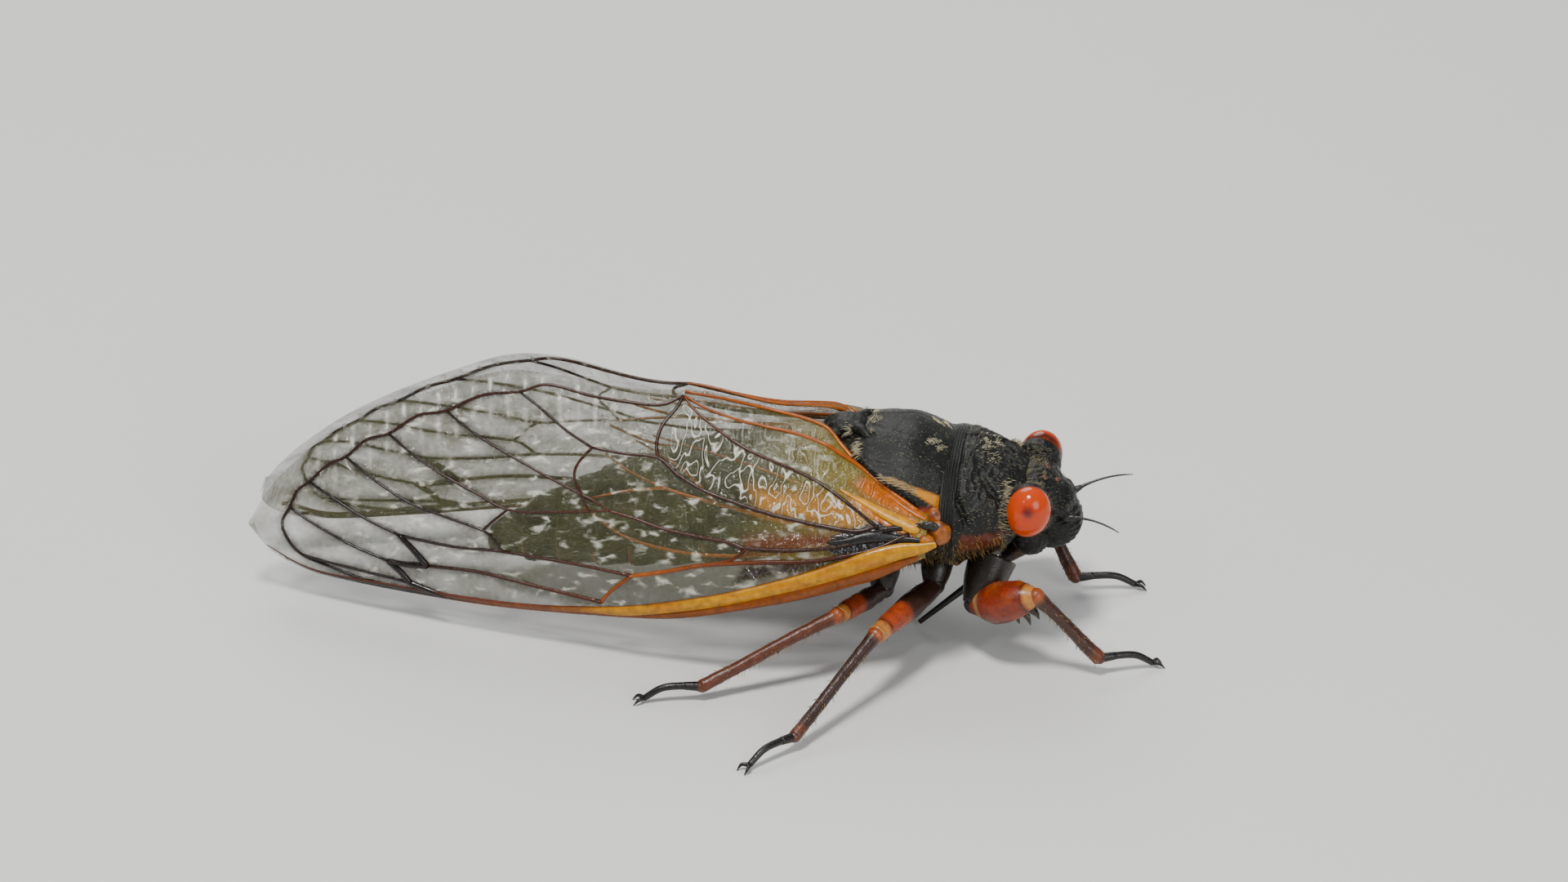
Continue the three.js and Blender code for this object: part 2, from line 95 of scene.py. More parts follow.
def grain(points, size, seed=0.0):
    # soft noise from -1 to 1, with lumps of about that size in millimetres
    return np.array([noise.noise(Vector((p[0] / size + seed, p[1] / size, p[2] / size))) for p in points])


def onWay(start, end, share, rise=0.0):
    # a place on the way from start to end, raised a little
    return start + (end - start) * share + np.array([0, 0, rise])


def throughPoints(points, steps):
    # a smooth line through a few points
    p = np.array(points, float)
    if len(p) == 2:
        return p[0] + (p[1] - p[0]) * np.linspace(0, 1, steps + 1)[:, None]
    p = np.vstack([2 * p[0] - p[1], p, 2 * p[-1] - p[-2]])
    t = np.linspace(0, len(points) - 1, steps + 1)
    i = np.minimum(t.astype(int), len(points) - 2)
    f = (t - i)[:, None]
    a, b, c, d = p[i], p[i + 1], p[i + 2], p[i + 3]
    return 0.5 * (2 * b + (c - a) * f + (2 * a - 5 * b + 4 * c - d) * f ** 2 + (3 * b - a - 3 * c + d) * f ** 3)


def pointsOf(obj):
    flat = np.zeros(len(obj.data.vertices) * 3)
    obj.data.vertices.foreach_get("co", flat)
    return flat.reshape(-1, 3)


def normalsOf(obj):
    flat = np.zeros(len(obj.data.vertices) * 3)
    obj.data.vertices.foreach_get("normal", flat)
    return flat.reshape(-1, 3)


def reshape(obj, points):
    obj.data.vertices.foreach_set("co", np.asarray(points, float).ravel())
    obj.data.update()
    return obj


def dented(obj, size, depth, seed=0.0):
    # soft dents all over a piece, which gives back its new points
    points = pointsOf(obj)
    points = points + normalsOf(obj) * (grain(points, size, seed) * depth)[:, None]
    reshape(obj, points)
    return points


def only(obj):
    bpy.ops.object.select_all(action="DESELECT")
    obj.select_set(True)
    bpy.context.view_layer.objects.active = obj


def applied(obj, kind, **settings):
    only(obj)
    modifier = obj.modifiers.new(kind.title(), kind)
    for key, value in settings.items():
        setattr(modifier, key, value)
    bpy.ops.object.modifier_apply(modifier=modifier.name)


def joined(name, pieces):
    bpy.ops.object.select_all(action="DESELECT")
    for piece in pieces:
        piece.select_set(True)
    bpy.context.view_layer.objects.active = pieces[0]
    if len(pieces) > 1:
        bpy.ops.object.join()
    pieces[0].name = name
    return pieces[0]


def paint(obj, colours):
    # one colour and opacity for each vertex, read by the materials as the attribute "tint"
    colours = np.asarray(colours, float)
    if colours.shape[1] == 3:
        colours = np.hstack([colours, np.ones((len(colours), 1))])
    layer = obj.data.attributes.get("tint") or obj.data.attributes.new("tint", "FLOAT_COLOR", "POINT")
    layer.data.foreach_set("color", colours.ravel())
    return obj


def mixed(base, colour, share):
    share = np.clip(share, 0, 1)[:, None]
    return base * (1 - share) + np.array(colour, float) * share


def plain(count, colour):
    return np.tile(np.array(colour, float), (count, 1))


def tidyFaces(obj, distance=0.0005):
    only(obj)
    bpy.ops.object.mode_set(mode="EDIT")
    bpy.ops.mesh.select_all(action="SELECT")
    bpy.ops.mesh.remove_doubles(threshold=distance)
    bpy.ops.mesh.normals_make_consistent(inside=False)
    bpy.ops.object.mode_set(mode="OBJECT")
    return obj


skins = {}  # surfaces that down grows from: their points and normals


def keepSkin(name, obj):
    skins[name] = (pointsOf(obj), normalsOf(obj))


def settle(obj, material, slotName, *nodes):
    # moves a finished piece from the modelling millimetres to its place in the frame
    only(obj)
    bpy.ops.object.shade_smooth()
    reshape(obj, pointsOf(obj) * mm + np.array(middle))
    obj.data.materials.clear()
    obj.data.materials.append(material)
    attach(obj, "root")
    if nodes:
        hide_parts(*nodes)


def ball(name, place, size, segments=32, rings=20, tip=0.0):
    bpy.ops.mesh.primitive_uv_sphere_add(segments=segments, ring_count=rings, radius=1)
    obj = bpy.context.object
    obj.name = name
    bpy.ops.object.mode_set(mode="EDIT")
    bpy.ops.mesh.select_all(action="SELECT")
    bpy.ops.transform.resize(value=size)
    bpy.ops.object.mode_set(mode="OBJECT")
    points = pointsOf(obj)
    turned = points.copy()
    turned[:, 0] = points[:, 0] * math.cos(tip) + points[:, 2] * math.sin(tip)
    turned[:, 2] = points[:, 2] * math.cos(tip) - points[:, 0] * math.sin(tip)
    return reshape(obj, turned + np.array(place))


def hull(name, stations, segments=72, rings=90):
    # a rounded body along X from rows of x, middle height, half width, rise and fall
    bpy.ops.mesh.primitive_uv_sphere_add(segments=segments, ring_count=rings, radius=1)
    obj = bpy.context.object
    obj.name = name
    p = pointsOf(obj)
    rows = sorted(stations)
    first, last = rows[0][0], rows[-1][0]
    along = np.arccos(np.clip(p[:, 2], -1, 1)) / math.pi
    x = first + (last - first) * along
    girth = np.sqrt(np.clip(1 - p[:, 2] ** 2, 1e-12, 1))
    across, up = p[:, 0] / girth, p[:, 1] / girth
    column = lambda k: smoothAt([(row[0], row[k]) for row in rows], x)
    close = np.where((along < 1e-6) | (along > 1 - 1e-6), 0, 1)
    reach = np.where(up > 0, column(3), column(4))
    shaped = np.stack([x, -across * column(2) * close, column(1) + up * reach * close], axis=1)
    return reshape(obj, shaped)


def tube(name, routes, sides=10, steps=8):
    # round limbs and veins: each route is its points and the radius at each of them
    curve = bpy.data.curves.new(name, "CURVE")
    curve.dimensions = "3D"
    curve.bevel_depth = 1
    curve.bevel_resolution = max(0, (sides - 4) // 2)
    curve.use_fill_caps = True
    for points, radii in routes:
        count = (len(points) - 1) * steps
        line = throughPoints(points, count)
        knots = list(zip(np.linspace(0, 1, len(radii)), radii))
        girth = smoothAt(knots, np.linspace(0, 1, count + 1))
        spline = curve.splines.new("POLY")
        spline.points.add(count)
        for point, place, radius in zip(spline.points, line, girth):
            point.co = (*place, 1)
            point.radius = radius
    obj = bpy.data.objects.new(name, curve)
    bpy.context.scene.collection.objects.link(obj)
    only(obj)
    bpy.ops.object.convert(target="MESH")
    return tidyFaces(bpy.context.object)


def nearLine(points, line):
    # distance from each point to a line, and the share of the way along it
    line = np.array(line, float)
    best, share = np.full(len(points), 1e9), np.zeros(len(points))
    for k, (a, b) in enumerate(zip(line[:-1], line[1:])):
        d = b - a
        t = np.clip(((points - a) @ d) / (d @ d), 0, 1)
        far = np.linalg.norm(points - (a + t[:, None] * d), axis=1)
        nearer = far < best
        best = np.where(nearer, far, best)
        share = np.where(nearer, (k + t) / (len(line) - 1), share)
    return best, share


def carve(points, normals, creases):
    # grooves (below zero) and ridges on both sides: each crease is its points, its width and its depth
    moved = points.copy()
    for route, width, depth in creases:
        for side in (1, -1):
            far = nearLine(points, mirrored(route, side))[0]
            moved += normals * (depth * np.exp(-(far / width) ** 2))[:, None]
    return moved


print("stage: camera, floor and light")

# The camera looks down on the right side, as the photo does. The picture is taken to be 1920 by 1080.
view = {
    "azimuth": 8.0, "elevation": 28.5, "distance": 280.0, "pixelsPerMm": 26.0, "middlePixel": (1150, 600),
    "width": 1920, "centre": (960, 540), "sensor": 36,
}


def viewAxes(vector, cross):
    # the ways back to the camera, to its right and up, and the place it looks at in millimetres
    a, e = math.radians(view["azimuth"]), math.radians(view["elevation"])
    back = vector((math.sin(a) * math.cos(e), -math.cos(a) * math.cos(e), math.sin(e)))
    right = vector((math.cos(a), math.sin(a), 0))
    up = cross(back, right)
    (px, py), (cx, cy) = view["middlePixel"], view["centre"]
    target = -right * ((px - cx) / view["pixelsPerMm"]) - up * ((cy - py) / view["pixelsPerMm"])
    return back, right, up, target


def addCamera():
    back, _, _, target = viewAxes(Vector, Vector.cross)
    data = bpy.data.cameras.new("camera")
    data.sensor_width = view["sensor"]
    data.lens = view["sensor"] * view["distance"] * view["pixelsPerMm"] / view["width"]
    data.clip_start = 0.01
    camera = bpy.data.objects.new("camera", data)
    bpy.context.scene.collection.objects.link(camera)
    camera.location = (target + back * view["distance"]) * mm + middle
    camera.rotation_euler = back.to_track_quat("Z", "Y").to_euler()
    bpy.context.scene.camera = camera


lamps = {
    "key": {"place": (-40, -100, 320), "size": 70, "power": 1.0, "colour": (1, 0.98, 0.95)},
    "fill": {"place": (250, -260, 190), "size": 240, "power": 0.6, "colour": (0.95, 0.98, 1)},
    "rim": {"place": (-110, 260, 240), "size": 240, "power": 0.6, "colour": (1, 1, 1)},
    "spark": {"place": (-170, -190, 230), "size": 24, "power": 0.1, "colour": (1, 1, 1)},
}


def addLight():
    for name, lamp in lamps.items():
        data = bpy.data.lights.new(name, "AREA")
        data.shape = "DISK"
        data.size = lamp["size"] * mm
        data.energy = lamp["power"]
        data.color = lamp["colour"]
        obj = bpy.data.objects.new(name, data)
        bpy.context.scene.collection.objects.link(obj)
        obj.location = Vector(lamp["place"]) * mm + middle
        obj.rotation_euler = (obj.location - middle).to_track_quat("Z", "Y").to_euler()
    world = bpy.data.worlds.new("studio")
    bpy.context.scene.world = world
    world.use_nodes = True
    world.node_tree.nodes["Background"].inputs["Color"].default_value = (0.93, 0.96, 1, 1)
    world.node_tree.nodes["Background"].inputs["Strength"].default_value = 0.3


def material(name, roughness, level):
    mat = bpy.data.materials.new(name)
    mat.use_nodes = True
    shader = mat.node_tree.nodes["Principled BSDF"]
    shader.inputs["Roughness"].default_value = roughness
    shader.inputs["Specular IOR Level"].default_value = level
    return mat, shader.inputs


def feed(mat, socket, value):
    # a socket takes a number, a colour, a vector as a list, or what another node gives
    if isinstance(value, (int, float, list)):
        socket.default_value = value
    elif isinstance(value, tuple):
        socket.default_value = (*value, 1)
    else:
        mat.node_tree.links.new(value, socket)


def newNode(mat, kind, inputs):
    node = mat.node_tree.nodes.new("ShaderNode" + kind)
    for name, value in inputs.items():
        feed(mat, node.inputs[name], value)
    return node


def millimetres(mat):
    # Object coordinates in millimetres about the middle of the thorax
    place = newNode(mat, "TexCoord", {}).outputs["Object"]
    centred = {"Location": [-m / mm for m in middle], "Scale": [1 / mm] * 3, "Vector": place}
    return newNode(mat, "Mapping", centred).outputs["Vector"]


def attributeOf(mat, name):
    node = newNode(mat, "Attribute", {})
    node.attribute_name = name
    return node.outputs


def noiseOf(mat, vector, scale, detail=3.0, rough=0.6, twist=0.0):
    inputs = {"Vector": vector, "Scale": scale, "Detail": detail, "Roughness": rough, "Distortion": twist}
    return newNode(mat, "TexNoise", inputs).outputs["Fac"]


def cellsOf(mat, vector, scale, randomness=1.0):
    inputs = {"Vector": vector, "Scale": scale, "Randomness": randomness}
    return newNode(mat, "TexVoronoi", inputs).outputs["Distance"]


def ranged(mat, value, low, high, toLow=0.0, toHigh=1.0):
    inputs = {"Value": value, "From Min": low, "From Max": high, "To Min": toLow, "To Max": toHigh}
    return newNode(mat, "MapRange", inputs).outputs["Result"]


def maths(mat, kind, a, b=0.0):
    node = newNode(mat, "Math", {})
    node.operation = kind
    feed(mat, node.inputs[0], a)
    feed(mat, node.inputs[1], b)
    return node.outputs[0]


def times(mat, a, b):
    return maths(mat, "MULTIPLY", a, b)


def blended(mat, share, a, b, kind="MIX"):
    node = newNode(mat, "Mix", {})
    node.data_type = "RGBA"
    node.blend_type = kind
    for name, value in (("Factor", share), ("A", a), ("B", b)):
        feed(mat, [s for s in node.inputs if s.name == name and s.enabled][0], value)
    return [s for s in node.outputs if s.enabled][0]


def bumped(mat, shader, height, strength, distance):
    inputs = {"Height": height, "Strength": strength, "Distance": distance * mm}
    feed(mat, shader["Normal"], newNode(mat, "Bump", inputs).outputs["Normal"])


def shellMaterial():
    # near-black shell: painted regions, pale flecks of down and a fine pitted surface
    dustColour, cloudColour = (0.3, 0.27, 0.17), (0.016, 0.018, 0.013)
    mat, shader = material("shell", 0.42, 0.27)
    vector, tint = millimetres(mat), attributeOf(mat, "tint")
    flecks = noiseOf(mat, vector, 4.6, 6, 0.85)
    patches = noiseOf(mat, vector, 0.8)
    specks = ranged(mat, noiseOf(mat, vector, 11, 2, 0.5), 0.66, 0.72, 0, 0.7)
    dust = times(mat, ranged(mat, flecks, 0.6, 0.68), ranged(mat, patches, 0.38, 0.62))
    dust = times(mat, maths(mat, "MAXIMUM", dust, specks), tint["Alpha"])
    cloud = blended(mat, ranged(mat, patches, 0.4, 0.75, 0, 0.5), tint["Color"], cloudColour, "ADD")
    feed(mat, shader["Base Color"], blended(mat, times(mat, dust, 0.8), cloud, dustColour))
    pits = times(mat, cellsOf(mat, vector, 8), 0.5)
    bumped(mat, shader, maths(mat, "ADD", pits, flecks), 0.5, 0.05)
    feed(mat, shader["Roughness"], ranged(mat, flecks, 0.35, 0.65, 0.26, 0.5))
    return mat


def limbMaterial():
    # glossy painted shell of legs, feelers and beak, with faint marbling
    mat, shader = material("limbShell", 0.32, 0.5)
    vector, tint = millimetres(mat), attributeOf(mat, "tint")
    marble = ranged(mat, noiseOf(mat, vector, 2.6, 4, 0.65, 0.4), 0.25, 0.62, 0.6, 0)
    feed(mat, shader["Base Color"], blended(mat, marble, tint["Color"], (0.014, 0.007, 0.004)))
    fine = noiseOf(mat, vector, 9)
    bumped(mat, shader, fine, 0.4, 0.04)
    feed(mat, shader["Roughness"], ranged(mat, fine, 0.3, 0.7, 0.22, 0.45))
    return mat


def eyeMaterial():
    # fine facets under a thin gloss
    mat, shader = material("eyeRed", 0.14, 0.35)
    vector, tint = millimetres(mat), attributeOf(mat, "tint")
    marble = ranged(mat, noiseOf(mat, vector, 1.3, 3, 0.5), 0.35, 0.7, 0, 0.3)
    feed(mat, shader["Base Color"], blended(mat, marble, tint["Color"], (0.72, 0.085, 0.008)))
    bumped(mat, shader, cellsOf(mat, vector, 14, 0.25), 0.18, 0.015)
    shader["Coat Weight"].default_value = 0.1
    shader["Coat Roughness"].default_value = 0.06
    shader["Subsurface Weight"].default_value = 0.06
    shader["Subsurface Radius"].default_value = (0.5 * mm, 0.12 * mm, 0.05 * mm)
    shader["Subsurface Scale"].default_value = 1
    return mat


def filmMaterial():
    # Clear wing film: its tint and opacity are painted, and painted highlights, pale and more opaque, lie on the
    # crests of its folds and in slanted patches, over bumps that also catch the lamps.
    # The attribute "place" holds the place out from the hinge and across, how worm-like the film's
    # folds are there, and how strongly the painted glints show there.
    paintedShineColour, paintedShineOpacity = (0.86, 0.85, 0.7), 0.5
    mat, shader = material("wingFilm", 0.12, 0.6)
    vector, tint, place = millimetres(mat), attributeOf(mat, "tint"), attributeOf(mat, "place")
    parts = newNode(mat, "SeparateColor", {"Color": place["Color"]}).outputs

    def slanted(turn, out, across):
        scale = [out * placeScale, across * placeScale, 0]
        inputs = {"Rotation": [0, 0, turn], "Scale": scale, "Vector": place["Color"]}
        return newNode(mat, "Mapping", inputs).outputs["Vector"]

    worm = noiseOf(mat, slanted(0.25, 1.55, 0.8), 1, 1.5, 0.4, 0.5)
    wave = maths(mat, "SINE", times(mat, worm, 31))
    # painted highlight along the crests of the worm-like folds
    paintedCrestShine = times(mat, ranged(mat, wave, 0.72, 1), parts["Blue"])
    # painted glints: slanted patches of pale, more opaque film where this noise peaks
    glintNoise = noiseOf(mat, slanted(-0.55, 1.1, 2.3), 1, 2, 0.55, 0.3)
    gleam = times(mat, ranged(mat, glintNoise, 0.56, 0.68), place["Alpha"])
    paintedShine = maths(mat, "MAXIMUM", paintedCrestShine, gleam)
    # the painted highlights lighten the film's colour here and raise its opacity below
    feed(mat, shader["Base Color"], blended(mat, paintedShine, tint["Color"], paintedShineColour))
    fine = noiseOf(mat, vector, 3.5)
    bumped(mat, shader, maths(mat, "ADD", times(mat, wave, 0.3), maths(mat, "ADD", fine, glintNoise)), 0.7, 0.12)
    veil = times(mat, ranged(mat, fine, 0.3, 0.75, 0.8, 1.25), tint["Alpha"])
    feed(mat, shader["Alpha"], maths(mat, "MAXIMUM", veil, times(mat, paintedShine, paintedShineOpacity)))
    shader["IOR"].default_value = 1.6
    return mat


def veinMaterial():
    # horny veins with darker mottles
    mat, shader = material("veinShell", 0.25, 0.38)
    vector, tint = millimetres(mat), attributeOf(mat, "tint")
    mottle = noiseOf(mat, vector, 3.2)
    stain = ranged(mat, mottle, 0.35, 0.75, 0, 0.55)
    feed(mat, shader["Base Color"], blended(mat, stain, tint["Color"], (0.03, 0.01, 0.004)))
    bumped(mat, shader, noiseOf(mat, vector, 10, 2, 0.5), 0.35, 0.03)
    feed(mat, shader["Roughness"], ranged(mat, mottle, 0.3, 0.7, 0.14, 0.34))
    return mat


def downMaterial():
    # short hair and tufts
    mat, shader = material("down", 0.6, 0.3)
    vector, tint = millimetres(mat), attributeOf(mat, "tint")
    strand = noiseOf(mat, vector, 6, 2, 0.5)
    dull = ranged(mat, strand, 0.3, 0.7, 0, 0.4)
    feed(mat, shader["Base Color"], blended(mat, dull, tint["Color"], (0.2, 0.15, 0.07)))
    feed(mat, shader["Roughness"], ranged(mat, strand, 0.3, 0.7, 0.45, 0.75))
    return mat


def floorMaterial():
    mat, shader = material("paleFloor", 0.7, 0.2)
    cloud = noiseOf(mat, newNode(mat, "TexCoord", {}).outputs["Object"], 6, 4)
    tone = blended(mat, ranged(mat, cloud, 0.3, 0.7), (0.72, 0.72, 0.7), (0.76, 0.76, 0.74))
    feed(mat, shader["Base Color"], tone)
    return mat


def addFloor():
    bpy.ops.mesh.primitive_plane_add(size=4, location=(0, 0, 0))
    floor = bpy.context.object
    floor.name = "floor"
    floor.data.materials.append(floorMaterial())


addCamera()
addLight()
addFloor()
placeScale = 40  # the attribute "place" holds millimetres divided by this
shell, limbShell, eyeRed = shellMaterial(), limbMaterial(), eyeMaterial()
wingFilm, veinShell, down = filmMaterial(), veinMaterial(), downMaterial()
black = (0.0045, 0.005, 0.0045)
darkBrown = (0.022, 0.009, 0.004)
orange = (0.6, 0.15, 0.012)
redOrange = (0.4, 0.042, 0.008)
cream = (0.72, 0.66, 0.45)


# ---- the wings' shape, which the body is tucked under

wing = {
    "reach": 33.2,
    "slope": 0.9915,  # millimetres along X for each millimetre out along the wing
    "across": [(0, 4.45), (7, 4.2), (15, 3.66), (20, 3.22), (26, 2.25), (33.2, 0.85)],
    "height": [(0, 0.5), (12, -0.68), (20, -1.68), (26, -2.56), (33.2, -3.75)],
    "leftRise": [(0, 0), (13, 0), (19, 0.4), (33.2, 0.4)],
    "tilt": [(0, 46), (7, 46), (12, 56), (20, 68), (33.2, 72)],
    "camber": 1.2,
    "front": [
        (0, -1.5), (3.5, -2.9), (7.9, -3.8), (12.3, -4.4), (16.5, -4.2), (22.9, -3.6), (29.3, -2.6),
        (30.7, -2.2), (31.8, -1.7), (32.8, -0.9), (33.1, -0.4), (33.2, -0.1),
    ],
    "hind": [
        (0, 0.5), (1.3, 1.3), (2.4, 2.0), (3.3, 2.8), (4.4, 3.9), (5.4, 5.0), (7.4, 5.6), (12.1, 6.4),
        (14, 6.4), (18, 7.1), (20.3, 7.4), (23.6, 6.6), (26.5, 5.6), (28.5, 4.7), (30.5, 3.4), (31.6, 2.5),
        (32.5, 1.5), (33, 0.7), (33.2, 0.3),
    ],
}
rearWing = {
    "front": [(1.6, -0.3), (6, -1.6), (11, -1.7), (15, -0.4), (17, 1.4)],
    "hind": [(1.6, 0.4), (4, 1.9), (7, 3.6), (11, 4.8), (15, 4.4), (17, 2.2)],
    "drop": 0.45,
}


def wingBulge(out, across):
    low, high = smoothAt(wing["front"], out), smoothAt(wing["hind"], out)
    share = (across - low) / (high - low)
    return np.maximum(0, wing["camber"] * 4 * share * (1 - share)) * (0.35 + 0.65 * ease(out, 0, 5))


def wingPoint(side, out, across, lift):
    # out from the hinge, across up from the wing's midline, and lift away from the body
    out, across = np.asarray(out, float), np.asarray(across, float)
    tilt = np.radians(smoothAt(wing["tilt"], out))
    bulge = wingBulge(out, across) + lift
    y = smoothAt(wing["across"], out) - np.cos(tilt) * across + np.sin(tilt) * bulge
    z = smoothAt(wing["height"], out) + np.sin(tilt) * across + np.cos(tilt) * bulge
    if side > 0:
        z = z + smoothAt(wing["leftRise"], out)
    return np.stack([-wing["slope"] * out, side * y, z], axis=-1)


def tucked(points, clearance=0.12, underRear=0.55):
    # presses the body in under the wings wherever it would stand through them
    moved = points.copy()
    for side in (-1, 1):
        mine = points[:, 1] * side > 0
        p = points[mine]
        out = -p[:, 0] / wing["slope"]
        tilt = np.radians(smoothAt(wing["tilt"], out))
        rise = smoothAt(wing["leftRise"], out) if side > 0 else 0
        dy = smoothAt(wing["across"], out) - p[:, 1] * side
        dz = p[:, 2] - smoothAt(wing["height"], out) - rise
        across = np.cos(tilt) * dy + np.sin(tilt) * dz
        lift = np.cos(tilt) * dz - np.sin(tilt) * dy
        low, high = smoothAt(wing["front"], out), smoothAt(wing["hind"], out)
        rearLow = smoothAt([(1.4, 0.0), *rearWing["front"]], out)
        rearHigh = smoothAt([(1.4, 0.0), *rearWing["hind"]], out)
        rear = between(across, rearLow - 0.3, rearLow + 0.2, rearHigh - 0.2, rearHigh + 0.3)
        rear = rear * between(out, 1.4, 2.2, 16.5, 17.3)
        limit = wingBulge(out, across) - clearance - (underRear - clearance) * rear
        under = (across > low - 0.15) & (across < high + 0.1) & (out > 0.2) & (out < wing["reach"])
        push = np.where(under, np.minimum(0, limit - lift), 0)
        p = p.copy()
        p[:, 1] += side * np.sin(tilt) * push
        p[:, 2] += np.cos(tilt) * push
        moved[mine] = p
    return moved


print("stage: thorax and abdomen")

mesothorax = {
    "stations": [
        (1.15, 0.0, 3.2, 2.35, 2.9), (0.9, 0.0, 3.45, 2.6, 3.0), (0.0, 0.0, 3.85, 3.15, 3.2),
        (-1.5, 0.0, 4.1, 3.6, 3.5), (-3.0, 0.0, 3.95, 3.55, 3.6), (-4.2, 0.0, 3.5, 3.1, 3.5),
        (-5.3, -0.1, 3.0, 2.6, 3.3), (-5.75, -0.15, 2.6, 2.2, 3.0),
    ],
    "seams": [  # two pairs of faint grooves that run back from the front edge
        ([(0.7, 0.75, 2.6), (-1.2, 1.15, 3.4), (-3.2, 0.55, 3.5)], 0.1, -0.05),
        ([(0.6, 2.1, 2.2), (-1.4, 2.9, 2.55), (-3.4, 2.5, 2.7)], 0.12, -0.045),
    ],
    "plate": [(-2.3, 3.25, 2.25), (-1.64, 3.27, 2.05), (-0.6, 3.3, 1.6), (0.4, 3.25, 1.1)],
    "plateColour": (0.58, 0.22, 0.006),
}


def paintThorax(points):
    # black above, an orange plate along the wing's root, red at the hinge and brown below
    x, y, z = sideless(points)
    far, share = nearLine(np.stack([x, y, z], axis=1), mesothorax["plate"])
    edge = 1 - ease(far, 0.02 + 0.27 * share, 0.07 + 0.32 * share)
    hinge = ease(y, 3.3, 3.7) * ease(x, -1.6, -0.6) * between(z, -1.2, -0.8, 0.8, 1.2)
    belly = 1 - ease(z, -1.9, -0.9)
    colours = mixed(plain(len(points), black), mesothorax["plateColour"], edge)
    colours = mixed(colours, redOrange, hinge)
    colours = mixed(colours, darkBrown, belly * 0.8)
    flecks = np.clip(0.8 - 0.7 * edge, 0, 1)
    return np.hstack([colours, flecks[:, None]])


def makeThorax():
    body = hull("thoraxShell", mesothorax["stations"], 220, 170)
    points = carve(pointsOf(body), normalsOf(body), mesothorax["seams"])
    points += normalsOf(body) * (grain(points, 0.9) * 0.03 + grain(points, 0.3, 5) * 0.012)[:, None]
    low = ease(-points[:, 2], 0.8, 1.6) * 0.16
    points += normalsOf(body) * (grain(points, 1.1, 9) * low)[:, None]
    reshape(body, tucked(points))
    keepSkin("thorax", body)
    paint(body, paintThorax(points))
    settle(body, shell, "cuticle", "thorax", "mesonotum")


cross = {
    "centre": (-4.35, 0, 3.28), "size": (1.05, 0.85, 0.42),
    "arms": [  # the left side's arms and their radii
        ([(-4.1, 0.2, 3.35), (-3.5, 0.9, 3.33), (-2.9, 1.5, 3.1)], (0.32, 0.28, 0.12)),
        ([(-4.5, 0.2, 3.25), (-5.1, 0.9, 2.85), (-5.6, 1.6, 2.3)], (0.36, 0.34, 0.2)),
    ],
    "voxel": 0.08, "notch": 0.28,
}


def makeCross():
    # the X-shaped lift at the rear of the back, with a notch in the middle of its rear
    pieces = [ball("crossLift", cross["centre"], cross["size"])]
    for side in (-1, 1):
        pieces += [tube("arm", [(mirrored(route, side), radii)]) for route, radii in cross["arms"]]
    lift = joined("crossLift", pieces)
    applied(lift, "REMESH", mode="VOXEL", voxel_size=cross["voxel"])
    applied(lift, "SMOOTH", factor=0.6, iterations=8)
    points = dented(lift, 0.25, 0.03)
    points[:, 2] -= cross["notch"] * np.exp(-(points[:, 1] / 0.3) ** 2) * ease(-points[:, 0], 4.6, 5.4)
    reshape(lift, points)
    keepSkin("cross", lift)
    paint(lift, plain(len(points), black))
    settle(lift, shell, "cuticle")


abdomen = {
    "stations": [
        (-4.9, -0.1, 2.6, 2.5, 3.0), (-5.6, -0.1, 2.9, 2.7, 3.1), (-7.5, -0.5, 3.25, 2.9, 3.1),
        (-10.5, -1.1, 3.25, 2.9, 3.0), (-14, -2.0, 2.85, 2.5, 2.6), (-17.5, -3.0, 2.05, 1.9, 1.9),
        (-19.8, -3.7, 1.35, 1.3, 1.25), (-20.8, -4.0, 0.95, 0.85, 0.85), (-21.7, -4.3, 0.3, 0.28, 0.3),
    ],
    "rings": 8, "first": -5.6, "last": -19.8, "lap": 0.14,
    "colour": (0.007, 0.006, 0.005), "bloom": (0.3, 0.3, 0.26), "band": (0.22, 0.06, 0.01), "flecks": 0.12,
}


def makeAbdomen():
    # rings that lap over each other, a pale bloom above at the front and a brown hem below on each ring
    body = hull("abdomenShell", abdomen["stations"], 96, 220)
    points = pointsOf(body)
    share = (points[:, 0] - abdomen["first"]) / (abdomen["last"] - abdomen["first"]) * abdomen["rings"]
    ring = np.clip(share - np.floor(share), 0, 1)
    lap = abdomen["lap"] * (ease(ring, 0.0, 0.9) - ease(ring, 0.93, 1.0)) * ease(share, -0.5, 0.3)
    keel = np.exp(-((np.abs(points[:, 1]) - 2.2) / 0.25) ** 2) * (points[:, 2] < -1.5) * 0.1
    dent = grain(points, 0.5, 3) * 0.02
    points = points + normalsOf(body) * (lap + keel + dent)[:, None]
    bloom = ease(points[:, 0], -10.5, -7.5) * ease(points[:, 2], 1.0, 1.8)
    bloom = bloom * ease(grain(points, 0.9, 4), -0.35, 0.25)
    band = ease(ring, 0.82, 0.95) * (points[:, 2] < -1.2 + 0.23 * (points[:, 0] + 8))
    colours = mixed(plain(len(points), abdomen["colour"]), abdomen["bloom"], bloom * 0.85)
    colours = mixed(colours, abdomen["band"], band * 0.75)
    reshape(body, tucked(points))
    keepSkin("abdomen", body)
    paint(body, np.hstack([colours, np.full((len(points), 1), abdomen["flecks"])]))
    settle(body, shell, "cuticle", "abdomen", "genital_capsule")


plates = {"centre": (-5.9, 1.5, -3.25), "size": (1.5, 1.2, 0.55), "colour": (0.05, 0.02, 0.01)}


def makePlates():
    for name, side in sides.items():
        plate = ball(f"bellyPlate_{name}", mirrored(plates["centre"], side), plates["size"])
        points = dented(plate, 0.5, 0.04)
        hem = ease(np.abs(points[:, 1]), 1.9, 2.7) * 0.6
        paint(plate, mixed(plain(len(points), plates["colour"]), orange, hem))
        settle(plate, shell, "cuticle", f"operculum_{name}")


makeThorax()
makeCross()
makeAbdomen()
makePlates()

print("stage: pronotum and head")

